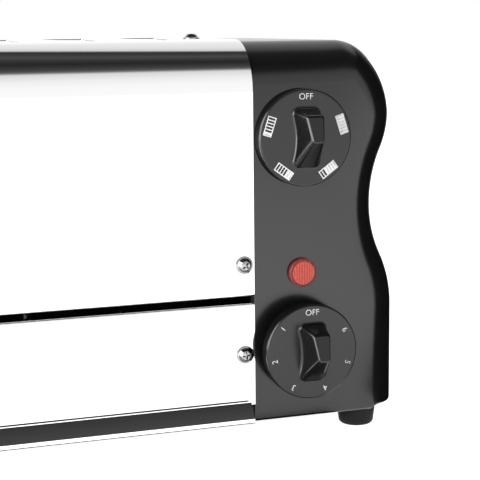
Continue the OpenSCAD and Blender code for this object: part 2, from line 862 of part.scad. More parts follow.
module timer_bell() {
    y0 = cap_inner + timer_can_l + bell_h;
    color("goldenrod") translate([timer_x, y0, timer_z]) rotate([90, 0, 0]) rotate_extrude()
        polygon(concat([[0, -bell_wall], [bell_r - bell_h / 2, -bell_wall], [bell_r, bell_h / 2],
                        [bell_r - bell_wall, bell_h / 2]],
                       [[bell_r - bell_h / 2 - bell_wall, 0], [0, 0]]));
}

module selector_shaft() {
    color("silver") translate([selector_x, 0, selector_z])
        rod_y(shaft_r, selector_face + skirt_h - seat_depth, cap_inner + switch_l - shaft_short);
}

module timer_shaft() {
    color("silver") translate([timer_x, 0, timer_z])
        rod_y(shaft_r, timer_face + skirt_h - seat_depth, cap_inner + timer_can_l - shaft_short);
}

module control_nuts() {
    color("silver") for (p = [[selector_x, selector_z], [timer_x, timer_z]])
        translate([p[0], cap_front, p[1]]) rotate([90, 0, 0]) difference() {
            cylinder(r = nut_r, h = nut_t, $fn = 6);
            translate([0, 0, -eps]) cylinder(r = neck_r + run_fit, h = nut_t + 2 * eps);
        }
}

module lamp_lens() {
    bevel = 1;
    r = lamp_d / 2;
    color("red") translate([lamp_x, cap_front, lamp_z]) rotate([90, 0, 0]) rotate_extrude()
        polygon([[0, 0], [r, 0], [r, lamp_out - bevel], [r - bevel, lamp_out], [0, lamp_out]]);
}

module lamp_body() {
    y1 = cap_front + lamp_body_l;
    color("dimgray") translate([lamp_x, 0, lamp_z]) {
        rod_y(lamp_body_r, cap_front, y1);
        for (x = [-lamp_pin_x, lamp_pin_x]) translate([x, 0, 0]) rod_y(lamp_pin_r, y1 - eps, y1 + lamp_pin_l);
    }
}

// Supply side inside the right cap
way_x = seam_x + block_size[0] / 2;
function way_y(n) = block_y + block_size[1] / block_ways * (n - 0.5);

module terminal_block() {
    a = [seam_x, block_y, block_z];
    color("ivory") difference() {
        span(a, a + block_size);
        for (n = [1:block_ways]) translate([way_x, way_y(n), block_z + eps])
            cylinder(r = block_bore_r, h = block_size[2]);
    }
}

module lead(points) {
    for (i = [0:len(points) - 2]) let (a = points[i], d = points[i + 1] - points[i], l = norm(d)) {
        translate(a) rotate([0, acos(d[2] / l), atan2(d[1], d[0])]) cylinder(r = wire_r, h = l);
        if (i > 0) translate(a) sphere(r = wire_elbow_r);
    }
}

// Three leads run from the terminal block to the switch, the lamp and the timer
module wiring() {
    z0 = block_z + block_size[2] - wire_seat;
    z1 = block_z + block_size[2] + wire_rise;
    lug_x = selector_x - switch_w / 4;
    lug_y = cap_inner + switch_l + lug_l;
    lug_z = selector_z - switch_w / 4;
    pin_x = lamp_x - lamp_pin_x;
    pin_y = cap_front + lamp_body_l + lamp_pin_l;
    can_y = cap_inner + timer_can_l;
    can_z = timer_z + timer_can_r - wire_elbow_r;
    color("firebrick") {
        lead([[way_x, way_y(1), z0], [way_x, way_y(1), lug_z], [lug_x, lug_y, lug_z]]);
        lead([[way_x, way_y(2), z0], [way_x, way_y(2), lamp_z + wire_rise],
              [pin_x, pin_y + wire_rise, lamp_z], [pin_x, pin_y, lamp_z]]);
        lead([[way_x, way_y(3), z0], [way_x, way_y(3), z1],
              [timer_x, can_y + bell_h + wire_rise, can_z], [timer_x, can_y, can_z]]);
    }
}

module cable_gland() {
    y0 = -cap_front;
    y1 = y0 + gland_hex_l;
    y2 = y1 + gland_cap_l;
    color([0.15, 0.15, 0.15]) translate([side_x - gland_in, 0, gland_z]) difference() {
        union() {
            rod_y(gland_neck_r, y0 - gland_tail, y0 + eps);
            translate([0, y1, 0]) rotate([90, 0, 0]) cylinder(r = gland_hex_r, h = gland_hex_l, $fn = 6);
            rod_y(gland_cap_r, y1 - eps, y2);
        }
        rod_y(gland_bore_r, y0 - gland_tail - eps, y2 + eps);
    }
}

module gland_nut() {
    y1 = -cap_inner;
    color([0.15, 0.15, 0.15]) translate([side_x - gland_in, y1, gland_z]) rotate([90, 0, 0]) difference() {
        cylinder(r = gland_hex_r, h = gland_nut_l, $fn = 6);
        translate([0, 0, -eps]) cylinder(r = gland_neck_r + run_fit, h = gland_nut_l + 2 * eps);
    }
}

// Pan-head screws with a cross recess
module pan_screw(length) {
    r = screw_head_d / 2;
    color("silver") {
        difference() {
            intersection() {
                cylinder(r = r, h = head_h);
                translate([0, 0, head_h - 2 * r]) sphere(r = 2 * r);
            }
            for (a = [0, 90]) rotate([0, 0, a])
                span([-cross_l / 2, -cross_w / 2, head_h - cross_depth],
                     [cross_l / 2, cross_w / 2, head_h + eps]);
        }
        translate([0, 0, -length]) cylinder(d = screw_d, h = length);
    }
}

module front_screws() {
    for (x = [-screw_x, screw_x], z = [upper_screw_z, lower_screw_z])
        facing_front(x, front_y, z) pan_screw(shank_l);
}

module rear_screws() { mirror([0, 1, 0]) front_screws(); }

module top_screws() {
    for (x = [-screw_x, screw_x]) translate([x, 0, total_h]) pan_screw(shank_l);
}

module cap_screws() {
    length = plate + boss_l - screw_spare;
    both_sides() for (y = [-boss_y, boss_y], z = boss_z)
        translate([inner_x, y, z]) rotate([0, -90, 0]) pan_screw(length);
}

module foot_screws() {
    length = foot_h - foot_recess + cap_wall + screw_spare;
    at_feet() translate([0, 0, foot_recess]) rotate([180, 0, 0]) pan_screw(length);
}

seat() casing_wrap();
seat() lower_front_panel();
seat() lower_rear_panel();
seat() base_plate();
seat() left_bulkhead();
seat() right_bulkhead();
seat() front_shield();
seat() rear_shield();
seat() element_combs();
seat() left_end_cap();
seat() right_end_cap();
seat() feet();
seat() tray_runners();
seat() crumb_tray();
seat() heating_ribbons();
for (i = [1:element_count])
    seat() mica_board(i);
for (i = [1:slot_count])
    seat() bread_guard(i);
for (i = [1:slot_count])
    seat() bread_rest(i);
seat() lift_rails();
seat() lift_carrier();
seat() guide_bushes();
seat() guide_rods();
seat() guide_brackets();
seat() lift_lever();
seat() lever_knob();
seat() selector_switch();
seat() selector_shaft();
seat() selector_knob();
seat() timer_unit();
seat() timer_bell();
seat() timer_shaft();
seat() timer_knob();
seat() control_nuts();
seat() lamp_lens();
seat() lamp_body();
seat() terminal_block();
seat() wiring();
seat() cable_gland();
seat() gland_nut();
seat() front_screws();
seat() rear_screws();
seat() top_screws();
seat() cap_screws();
seat() foot_screws();
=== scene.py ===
# A six-slot counter toaster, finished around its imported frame: polished sheet
# between two satin black end caps, with the controls on the right cap.
import math

import bmesh
import bpy
from mathutils import Matrix, Vector


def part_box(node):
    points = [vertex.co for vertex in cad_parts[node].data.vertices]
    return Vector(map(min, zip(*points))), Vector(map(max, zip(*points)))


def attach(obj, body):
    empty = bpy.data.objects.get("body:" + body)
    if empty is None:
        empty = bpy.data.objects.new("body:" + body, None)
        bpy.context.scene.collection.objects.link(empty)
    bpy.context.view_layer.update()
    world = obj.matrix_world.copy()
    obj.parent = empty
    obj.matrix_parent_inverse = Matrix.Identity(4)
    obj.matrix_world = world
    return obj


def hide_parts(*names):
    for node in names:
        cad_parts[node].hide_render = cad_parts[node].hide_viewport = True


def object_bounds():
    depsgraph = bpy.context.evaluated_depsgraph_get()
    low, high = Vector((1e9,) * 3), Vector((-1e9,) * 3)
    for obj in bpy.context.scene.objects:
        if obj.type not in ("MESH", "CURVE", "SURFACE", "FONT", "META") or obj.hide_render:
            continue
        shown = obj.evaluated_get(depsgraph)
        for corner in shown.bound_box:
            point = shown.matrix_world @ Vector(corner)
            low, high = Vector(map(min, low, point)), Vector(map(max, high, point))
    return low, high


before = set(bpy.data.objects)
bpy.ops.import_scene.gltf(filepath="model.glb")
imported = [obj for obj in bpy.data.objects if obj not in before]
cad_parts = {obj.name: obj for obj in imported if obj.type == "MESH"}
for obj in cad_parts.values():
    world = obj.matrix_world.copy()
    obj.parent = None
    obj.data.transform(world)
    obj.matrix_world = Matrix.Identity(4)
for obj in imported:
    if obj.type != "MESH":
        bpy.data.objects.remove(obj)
cad_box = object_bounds()
scene = bpy.context.scene

# Camera
# The photograph's viewpoint, fitted to the knob circles and the panel edges: a
# long lens to the left of the controls, a little above the top of the casing.
camera_at = Vector((-0.08782, -0.75584, 0.23368))
camera_yaw = math.radians(18.3507)
camera_pitch = math.radians(9.3063)
camera_roll = math.radians(-0.5977)
camera = bpy.data.objects.new("camera", bpy.data.cameras.new("camera"))
camera.data.lens = 99.237
camera.data.sensor_width = 36.0
camera.matrix_world = (
    Matrix.Translation(camera_at)
    @ Matrix.Rotation(-camera_yaw, 4, "Z")
    @ Matrix.Rotation(math.pi / 2 - camera_pitch, 4, "X")
    @ Matrix.Rotation(camera_roll, 4, "Z")
)
scene.collection.objects.link(camera)
scene.camera = camera


# Studio
# A pale floor that glows a little, so polished steel mirrors it as white. The
# room is bright in front of the toaster and behind it, and dark overhead.
def feed(node, **values):
    """Sets a node's inputs to plain values, or links them to outputs of other nodes."""
    for name, value in values.items():
        socket = node.inputs[name.replace("_", " ")]
        if isinstance(value, bpy.types.NodeSocket):
            node.id_data.links.new(value, socket)
        else:
            socket.default_value = value


def put(tree, kind, **values):
    """Adds a node: capitalised values are its inputs, the others its settings."""
    made = tree.nodes.new(kind)
    for name, value in values.items():
        if name[0].isupper():
            feed(made, **{name: value})
        else:
            setattr(made, name, value)
    return made


def object_place(tree):
    """The place on the object itself."""
    return put(tree, "ShaderNodeTexCoord").outputs["Object"]


def blend_values(tree, operation, *values):
    """A Math node between outputs of other nodes and plain numbers."""
    made = put(tree, "ShaderNodeMath", operation=operation)
    for socket, value in zip(made.inputs, values):
        if isinstance(value, float):
            socket.default_value = value
        else:
            tree.links.new(value, socket)
    return made.outputs[0]


def mix_tones(tree, share, first, second, **settings):
    """A mix of two colours."""
    made = put(tree, "ShaderNodeMix", data_type="RGBA", **settings, Factor=share, A=first, B=second)
    return made.outputs["Result"]


def ramp(tree, source, *stops):
    """A colour ramp of grey stops, each a place and a brightness."""
    made = put(tree, "ShaderNodeValToRGB", Fac=source)
    while len(made.color_ramp.elements) < len(stops):
        made.color_ramp.elements.new(1.0)
    for element, (place, level) in zip(made.color_ramp.elements, stops):
        element.position = place
        element.color = (level, level, level, 1.0)
    return made.outputs["Color"]


def new_material(name):
    """A material with its Principled shader."""
    made = bpy.data.materials.new(name)
    made.use_nodes = True
    return made, made.node_tree, made.node_tree.nodes["Principled BSDF"]


def put_on_stage(name, shape, finish):
    """Makes a studio object from a bmesh: it isn't part of the toaster."""
    mesh = bpy.data.meshes.new(name)
    shape.to_mesh(mesh)
    shape.free()
    mesh.materials.append(finish)
    made = bpy.data.objects.new(name, mesh)
    scene.collection.objects.link(made)
    return made


scene.view_settings.view_transform = "Standard"
floor_r = 8.0
floor_white = (0.86, 0.86, 0.86, 1.0)
floor_plain = (0.92, 0.92, 0.92, 1.0)
# How strongly gloss sees the floor glow, by the distance from its middle as a share of its radius
floor_glow = (
    (0.0, 0.42), (0.028, 0.46), (0.036, 0.52), (0.046, 0.64), (0.06, 0.74), (0.10, 0.70), (0.15, 0.755),
    (0.30, 0.80), (0.41, 0.84), (0.5, 0.86),
)
# Gloss mirrors the lit floor brighter than it looks, as a lamp over it would make it
mirror_gain = 2.4
floor_finish, tree, shader = new_material("studio_floor")
distance = put(tree, "ShaderNodeVectorMath", operation="LENGTH", Vector=object_place(tree))
reach = blend_values(tree, "DIVIDE", distance.outputs["Value"], floor_r)
mirrored = put(tree, "ShaderNodeLightPath").outputs["Is Glossy Ray"]
feed(
    shader, Base_Color=floor_white, Roughness=0.9, Specular_IOR_Level=0.0,
    Emission_Color=mix_tones(tree, mirrored, floor_plain, ramp(tree, reach, *floor_glow)),
    Emission_Strength=blend_values(tree, "MULTIPLY_ADD", mirrored, mirror_gain - 1.0, 1.0))
shape = bmesh.new()
bmesh.ops.create_circle(shape, cap_ends=True, segments=64, radius=floor_r)
put_on_stage("studio_floor", shape, floor_finish)

# Room brightness by angle, as a share of the strongest: 0 is the horizon in front, 90 overhead,
# 180 the horizon behind
room_strength = 1.4
room_levels = (
    (0, 0.98), (20, 0.95), (34, 0.86), (47, 0.70), (52, 0.16), (56, 0.065), (63, 0.038), (71, 0.02),
    (79, 0.034), (88, 0.065), (99, 0.032), (104, 0.05), (109, 0.62), (120, 0.76), (138, 0.81), (165, 0.92),
)
# The camera itself sees a plain white room
room_plain = (1.0 / room_strength, 1.0 / room_strength, 1.0 / room_strength, 1.0)
world = bpy.data.worlds.new("studio")
scene.world = world
world.use_nodes = True
tree = world.node_tree
split = put(tree, "ShaderNodeSeparateXYZ", Vector=put(tree, "ShaderNodeTexCoord").outputs["Generated"])
ahead = blend_values(tree, "MULTIPLY", split.outputs["Y"], -1.0)
turn = blend_values(tree, "DIVIDE", blend_values(tree, "ARCTAN2", split.outputs["Z"], ahead), math.pi)
# The dark band overhead narrows from left to right
overhead = put(tree, "ShaderNodeMapRange", Value=turn, From_Min=0.34, From_Max=0.58)
skew = put(tree, "ShaderNodeMapRange", Value=split.outputs["X"], From_Min=0.1, From_Max=0.32,
           To_Min=-0.058, To_Max=0.03)
slant = blend_values(tree, "MULTIPLY_ADD", overhead.outputs["Result"], skew.outputs["Result"], turn)
room = ramp(tree, slant, *((degrees / 180.0, level) for degrees, level in room_levels))
to_camera = put(tree, "ShaderNodeLightPath").outputs["Is Camera Ray"]
feed(tree.nodes["Background"], Strength=room_strength, Color=mix_tones(tree, to_camera, room, room_plain))

# A softbox on the left draws the bright lines along the edges of the knobs
softbox = bpy.data.objects.new("softbox", bpy.data.lights.new("softbox", "AREA"))
softbox.data.shape = "RECTANGLE"
softbox.data.size = 0.9
softbox.data.size_y = 0.8
softbox.data.energy = 23.0
softbox_at = Vector((-0.75, -0.36, 0.42))
softbox_aim = Vector((0.15, -0.1, 0.12)) - softbox_at
softbox_turn = softbox_aim.to_track_quat("-Z", "Y").to_matrix().to_4x4()
softbox.matrix_world = Matrix.Translation(softbox_at) @ softbox_turn
softbox.visible_camera = False
scene.collection.objects.link(softbox)

# Black flags that only gloss mirrors: one leans beside the right end cap and keeps its rolled
# edges dark, and one lies under the toaster as its shade. They fade out towards the rear.
flag_finish, tree, shader = new_material("black_flag")
split = put(tree, "ShaderNodeSeparateXYZ", Vector=object_place(tree))
fade = put(tree, "ShaderNodeMapRange", Value=split.outputs["Y"], From_Min=-0.05, From_Max=0.1,
           To_Min=1.0, To_Max=0.0)
feed(shader, Base_Color=(0.004, 0.004, 0.004, 1.0), Specular_IOR_Level=0.0, Alpha=fade.outputs["Result"])
flag_lift = 0.002


def put_flag(name, foot_x, front_y, rear_y, height, lean):
    """A black card that stands on the floor and leans out from upright."""
    shape = bmesh.new()
    bmesh.ops.create_grid(shape, x_segments=1, y_segments=1, size=0.5)
    bmesh.ops.translate(shape, vec=(0.5, 0.0, 0.0), verts=shape.verts)
    bmesh.ops.scale(shape, vec=(height, rear_y - front_y, 1.0), verts=shape.verts)
    bmesh.ops.rotate(shape, matrix=Matrix.Rotation(lean - math.pi / 2, 3, "Y"), verts=shape.verts)
    bmesh.ops.translate(shape, vec=(foot_x, (front_y + rear_y) / 2, flag_lift), verts=shape.verts)
    flag = put_on_stage(name, shape, flag_finish)
    flag.visible_camera = False
    flag.visible_diffuse = False
    flag.visible_shadow = False


put_flag("right_flag", foot_x=cad_box[1].x + 0.008, front_y=-0.13, rear_y=0.1, height=0.3,
         lean=math.radians(8.5))
put_flag("under_flag", foot_x=cad_box[0].x + 0.03, front_y=cad_box[0].y + 0.008, rear_y=cad_box[1].y - 0.01,
         height=0.4, lean=math.pi / 2)


# Base plate, combs and runners
# Plain galvanised sheet, folded and screwed together: the frame that the casing
# and the end caps are hung on. The zinc shows a faint spangle.
def dress(finish, *names):
    """Gives CAD nodes a finish in their own material slots."""
    for name in names:
        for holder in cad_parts[name].material_slots:
            holder.material = finish


galvanised, tree, shader = new_material("galvanised_sheet")
spangle = put(tree, "ShaderNodeTexVoronoi", Vector=object_place(tree), Scale=160.0)
grain = put(tree, "ShaderNodeSeparateColor", Color=spangle.outputs["Color"])
feed(
    shader, Metallic=1.0, Base_Color=ramp(tree, grain.outputs[0], (0.0, 0.42), (1.0, 0.58)),
    Roughness=ramp(tree, grain.outputs[1], (0.0, 0.30), (1.0, 0.45)))
dress(galvanised, "base_plate", "element_combs", "tray_runners", "guide_brackets")


# Heat shields and bulkheads
# Sheet steel round the slots, which keeps the heat off the casing and the end caps, toned
# near-black as painted shade so the gaps behind the casing and the panels stay dark. The rails of the lift
# pass through its slits.
def start_group(name, inputs, outputs):
    """A shader node group with its sockets, and its two end nodes."""
    group = bpy.data.node_groups.new(name, "ShaderNodeTree")
    for label, kind in inputs:
        group.interface.new_socket(label, in_out="INPUT", socket_type=kind)
    for label, kind in outputs:
        group.interface.new_socket(label, in_out="OUTPUT", socket_type=kind)
    return group, group.nodes.new("NodeGroupInput"), group.nodes.new("NodeGroupOutput")


def scaled_noise(tree, coordinates, **values):
    """A noise texture on given coordinates."""
    return put(tree, "ShaderNodeTexNoise", Vector=coordinates, **values).outputs["Fac"]


def shade_tone(tree, tone, amount):
    """A colour multiplied by a grey amount."""
    return mix_tones(tree, 1.0, tone, amount, blend_type="MULTIPLY")


def uneven(tree, fine, broad, spread):
    """A fine and a broad noise as one change about zero, as wide as its spread."""
    marks = blend_values(tree, "SUBTRACT", blend_values(tree, "ADD", fine, broad), 1.0)
    return blend_values(tree, "MULTIPLY", marks, spread)


FLOAT, COLOUR, VECTOR = "NodeSocketFloat", "NodeSocketColor", "NodeSocketVector"

# Rolled metal: fine lines along the rolling direction over broad cloudy patches
rolled_metal, ends_in, ends_out = start_group(
    "rolled_metal",
    (("Tone", COLOUR), ("Roughness", FLOAT), ("Spread", FLOAT), ("Lines", VECTOR), ("Patches", FLOAT)),
    (("Color", COLOUR), ("Roughness", FLOAT), ("Height", FLOAT)),
)
place = object_place(rolled_metal)
stretch = put(rolled_metal, "ShaderNodeVectorMath", operation="MULTIPLY", Vector=place)
rolled_metal.links.new(ends_in.outputs["Lines"], stretch.inputs[1])
lines = scaled_noise(rolled_metal, stretch.outputs[0], Scale=1.0, Detail=4.0, Roughness=0.6)
clouds = scaled_noise(rolled_metal, place, Scale=ends_in.outputs["Patches"], Detail=3.0)
change = uneven(rolled_metal, lines, clouds, ends_in.outputs["Spread"])
rough = blend_values(rolled_metal, "ADD", ends_in.outputs["Roughness"], change)
shade = blend_values(rolled_metal, "SUBTRACT", 1.0, change)
smoothest = 0.02
feed(
    ends_out, Color=shade_tone(rolled_metal, ends_in.outputs["Tone"], shade),
    Roughness=blend_values(rolled_metal, "MAXIMUM", rough, smoothest), Height=lines)


def link_bump(tree, shader, height, strength, depth=0.0002):
    """Feeds a height to the shader's normal; depth is in metres."""
    bump = put(tree, "ShaderNodeBump", Strength=strength, Distance=depth, Height=height)
    feed(shader, Normal=bump.outputs["Normal"])


def metal(name, tone, roughness, spread, lines, patches=14.0, strength=0.1):
    """Sheet, wire or turned metal with its rolling or turning lines."""
    made, tree, shader = new_material(name)
    marks = put(tree, "ShaderNodeGroup", node_tree=rolled_metal, Tone=(*tone, 1.0), Roughness=roughness,
                Spread=spread, Lines=lines, Patches=patches)
    feed(shader, Metallic=1.0, Base_Color=marks.outputs["Color"], Roughness=marks.outputs["Roughness"])
    link_bump(tree, shader, marks.outputs["Height"], strength)
    return made


# Near-black tone: painted shade for the dark gaps behind the casing and the lower panels
shade_black_sheet = metal(
    "shade_black_sheet", tone=(0.012, 0.0115, 0.011), roughness=0.5, spread=0.14, lines=(40.0, 900.0, 900.0))
dress(shade_black_sheet, "front_shield", "rear_shield", "left_bulkhead", "right_bulkhead")

# Heating elements
# Mica boards that stand in notched combs, one on each side of every slot, each
# wound with a flat resistance ribbon that has turned dull with heat.
mica_dark = (0.42, 0.33, 0.22, 1.0)
mica_pale = (0.66, 0.58, 0.45, 1.0)
mica, tree, shader = new_material("mica_board")
place = object_place(tree)
flakes = put(tree, "ShaderNodeTexVoronoi", Vector=place, Scale=420.0)
flake = put(tree, "ShaderNodeSeparateColor", Color=flakes.outputs["Color"])
tint = mix_tones(tree, scaled_noise(tree, place, Scale=45.0, Detail=5.0), mica_dark, mica_pale)
feed(
    shader, Base_Color=shade_tone(tree, tint, ramp(tree, flake.outputs[0], (0.0, 0.78), (1.0, 1.0))),
    Roughness=ramp(tree, flake.outputs[1], (0.0, 0.28), (1.0, 0.6)))
link_bump(tree, shader, flakes.outputs["Distance"], strength=0.15)
board_count = 7
dress(mica, *(f"mica_board_{i + 1}" for i in range(board_count)))
ribbon = metal(
    "resistance_ribbon", tone=(0.36, 0.33, 0.31), roughness=0.42, spread=0.2, lines=(60.0, 60.0, 1500.0))
dress(ribbon, "heating_ribbons")

# Bread guards and rests
# Welded steel wire that keeps the bread off the elements, and the slotted rests
# that carry it. Both are bright, drawn metal.
drawn_wire = metal(
    "drawn_wire", tone=(0.72, 0.71, 0.69), roughness=0.2, spread=0.12, lines=(500.0, 60.0, 60.0))
slot_count = 6
for i in range(slot_count):
    dress(drawn_wire, f"bread_guard_{i + 1}", f"bread_rest_{i + 1}")

# Lift gear
# Two rails carry the six rests through the left bulkhead to a carrier, which
# slides on two ground rods in brass bushes behind the left end cap.
lift_steel = metal(
    "lift_steel", tone=(0.56, 0.56, 0.56), roughness=0.32, spread=0.14, lines=(50.0, 700.0, 700.0))
dress(lift_steel, "lift_rails", "lift_carrier", "lift_lever")
ground_rod = metal(
    "ground_rod", tone=(0.75, 0.75, 0.75), roughness=0.12, spread=0.06, lines=(900.0, 900.0, 40.0))
dress(ground_rod, "guide_rods", "selector_shaft", "timer_shaft", "control_nuts")
turned_brass = metal(
    "turned_brass", tone=(0.74, 0.55, 0.24), roughness=0.2, spread=0.1, lines=(300.0, 300.0, 900.0))
dress(turned_brass, "guide_bushes", "timer_bell")

# Switch, timer, lamp holder and terminals
# Cream moulded bodies inside the right end cap, the timer's pressed aluminium
# can, and the sleeved wires between them.
moulding_grain, ends_in, ends_out = start_group(
    "moulding_grain",
    (("Tone", COLOUR), ("Roughness", FLOAT), ("Spread", FLOAT), ("Grain", FLOAT)),
    (("Color", COLOUR), ("Roughness", FLOAT), ("Height", FLOAT)),
)
place = object_place(moulding_grain)
pits = scaled_noise(moulding_grain, place, Scale=ends_in.outputs["Grain"], Detail=2.0, Roughness=0.45)
clouds = scaled_noise(moulding_grain, place, Scale=24.0, Detail=4.0)
change = uneven(moulding_grain, pits, clouds, ends_in.outputs["Spread"])
shade = blend_values(moulding_grain, "ADD", 1.0, change)
feed(
    ends_out, Color=shade_tone(moulding_grain, ends_in.outputs["Tone"], shade),
    Roughness=blend_values(moulding_grain, "ADD", ends_in.outputs["Roughness"], change), Height=pits)


def moulding(name, tone, roughness, spread, grain, strength=0.2, depth=0.00005, gloss=0.5):
    """Moulded plastic or rubber with its fine grain."""
    made, tree, shader = new_material(name)
    marks = put(tree, "ShaderNodeGroup", node_tree=moulding_grain, Tone=(*tone, 1.0), Roughness=roughness,
                Spread=spread, Grain=grain)
    feed(shader, Specular_IOR_Level=gloss, Base_Color=marks.outputs["Color"],
         Roughness=marks.outputs["Roughness"])
    link_bump(tree, shader, marks.outputs["Height"], strength, depth)
    return made


cream_moulding = moulding(
    "cream_moulding", tone=(0.72, 0.68, 0.56), roughness=0.42, spread=0.15, grain=900.0)
dress(cream_moulding, "selector_switch", "terminal_block", "lamp_body")
pressed_can = metal(
    "pressed_can", tone=(0.7, 0.7, 0.7), roughness=0.3, spread=0.1, lines=(700.0, 60.0, 700.0))
dress(pressed_can, "timer_unit")
sleeved_wire = moulding("sleeved_wire", tone=(0.42, 0.03, 0.025), roughness=0.5, spread=0.2, grain=1500.0)
dress(sleeved_wire, "wiring")
gland_nylon = moulding("gland_nylon", tone=(0.02, 0.02, 0.021), roughness=0.45, spread=0.15, grain=1200.0)
dress(gland_nylon, "gland_nut")

# End caps
# Satin black mouldings that close the ends. The side waves in to a waist and out
# again, and every outer edge rolls over; screws hold them to the bulkheads.
MM = 0.001
MERGE = 0.02 * MM


def line_on(shape, vert, to):
    """Draws an edge from a vertex to a point."""
    made = bmesh.ops.extrude_vert_indiv(shape, verts=[vert])["verts"][0]
    made.co = to
    return made


def arc_on(shape, vert, centre, turn, steps, axis=(0.0, -1.0, 0.0)):
    """Draws an arc from a vertex round a centre and gives its new vertices in order."""
    before = len(shape.verts)
    bmesh.ops.spin(shape, geom=[vert], cent=centre, axis=axis, angle=turn, steps=steps)
    return shape.verts[:][before:]


def verts_of(geom):
    """The vertices that an operator made."""
    return [g for g in geom if isinstance(g, bmesh.types.BMVert)]


def edges_of(geom):
    """The edges that an operator made."""
    return [g for g in geom if isinstance(g, bmesh.types.BMEdge)]


def mirror_front(shape):
    """Mirrors the front half of a shape to the rear."""
    everything = shape.verts[:] + shape.edges[:] + shape.faces[:]
    bmesh.ops.mirror(shape, geom=everything, axis="Y", matrix=Matrix.Identity(4), merge_dist=MERGE)


def make_piece(name, shape, finish, body, slot, *nodes, sharp=35.0):
    """Turns a closed or single-walled bmesh into a piece that rides on a body."""
    bmesh.ops.remove_doubles(shape, verts=shape.verts, dist=MERGE)
    bmesh.ops.recalc_face_normals(shape, faces=shape.faces)
    middle = sum((v.co for v in shape.verts), Vector()) / len(shape.verts)
    if sum(f.calc_area() * f.normal.dot(f.calc_center_median() - middle) for f in shape.faces) < 0:
        bmesh.ops.reverse_faces(shape, faces=shape.faces)
    for face in shape.faces:
        face.smooth = True
    for edge in shape.edges:
        edge.smooth = len(edge.link_faces) == 2 and edge.calc_face_angle(0.0) < math.radians(sharp)
    mesh = bpy.data.meshes.new(name)
    shape.to_mesh(mesh)
    shape.free()
    mesh.materials.append(finish)
    piece = bpy.data.objects.new(name, mesh)
    scene.collection.objects.link(piece)
    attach(piece, body)
    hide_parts(*nodes)
    return piece


def give_wall(piece, thickness):
    """Thickens a skin inwards."""
    wall = piece.modifiers.new("wall", "SOLIDIFY")
    wall.thickness = thickness
    wall.offset = -1.0


def hang_skin(name, shape, finish, slot, node, thickness):
    """Hangs a skin that was drawn centred front to rear on the chassis, and gives it its wall."""
    bmesh.ops.translate(shape, vec=(0.0, middle_y, 0.0), verts=shape.verts)
    give_wall(make_piece(name, shape, finish, "chassis", slot, node), thickness)


cap_low, cap_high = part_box("right_end_cap")
seam_x, side_x = cap_low.x, cap_high.x
base_z, cap_top = cap_low.z, cap_high.z
middle_y = (cap_low.y + cap_high.y) / 2
cap_half_d = (cap_high.y - cap_low.y) / 2
cap_wall = 3.0 * MM
edge_r = 17.0 * MM
shoulder_z = 74.0 * MM
waist_z = 133.0 * MM
waist_in = 13.3 * MM
bulge_z = cap_top - 40.0 * MM
bulge_in = 2.5 * MM
corner_r = 47.0 * MM
corner_turn = math.radians(45.0)
corner_edge_r = 20.0 * MM
corner_roll = 22.0 * MM
seam_roll = 24.0 * MM
slack = 0.25
hollow_share = 0.6
heel_start = 17.0 * MM
heel_ramp = 4.0 * MM
heel_rise = 2.0 * MM
heel_r = 1.6 * MM
support = 0.8 * MM
lower_turn = 2 * math.atan(waist_in / (waist_z - shoulder_z))
lower_r = (waist_z - shoulder_z) / (2 * math.sin(lower_turn))
upper_turn = 2 * math.atan((waist_in - bulge_in) / (bulge_z - waist_z))
upper_r = (bulge_z - waist_z) / math.sin(upper_turn)
hollow_r = hollow_share * upper_r
crown_r = upper_r - hollow_r
corner_rise = math.sin(corner_turn)
crest_r = (cap_top - bulge_z - corner_r * corner_rise) / (1 - corner_rise)
crest_x = side_x - bulge_in - corner_r + (corner_r - crest_r) * math.cos(corner_turn)
# Each arc of the side: its centre, its turn, and the roll of the edge at its end
side_arcs = (
    ((side_x - lower_r, shoulder_z), lower_turn, edge_r),
    ((side_x - waist_in + lower_r, waist_z), -lower_turn, edge_r),
    ((side_x - waist_in + hollow_r, waist_z), -upper_turn, edge_r),
    ((side_x - bulge_in - crown_r, bulge_z), upper_turn, edge_r),
    ((side_x - bulge_in - corner_r, bulge_z), corner_turn, corner_edge_r),
    ((crest_x, cap_top - crest_r), math.pi / 2 - corner_turn, corner_roll),
)
ARC_STEPS = 14
ROLL_STEPS = 14
TOP_STEPS = 6
HEEL_STEPS = 4
FRONT, REAR = -1.0, 1.0


def roll_edge(shape, edges, start, outward, radius, fall, steps):
    """Rolls an open edge over, row by row, and gives its last edges: the widest rolls are the slackest."""
    for i in range(steps):
        angle = math.pi / 2 * (i + 1) / steps
        grown = bmesh.ops.extrude_edge_only(shape, edges=edges)["geom"]
        for vert in verts_of(grown):
            power = 1.0 + slack * min(max((vert[radius] - edge_r) / (corner_roll - edge_r), 0.0), 1.0)
            inwards = -vert[radius] * (1 - math.cos(angle) ** power) * vert[outward]
            vert.co = vert[start] + inwards + vert[radius] * math.sin(angle) ** power * fall
        edges = edges_of(grown)
    return edges


def open_edges(shape, axis, level):
    """The open edges that lie at one level along an axis."""
    return [e for e in shape.edges
            if len(e.link_faces) < 2 and all(abs(v.co[axis] - level) < MERGE for v in e.verts)]


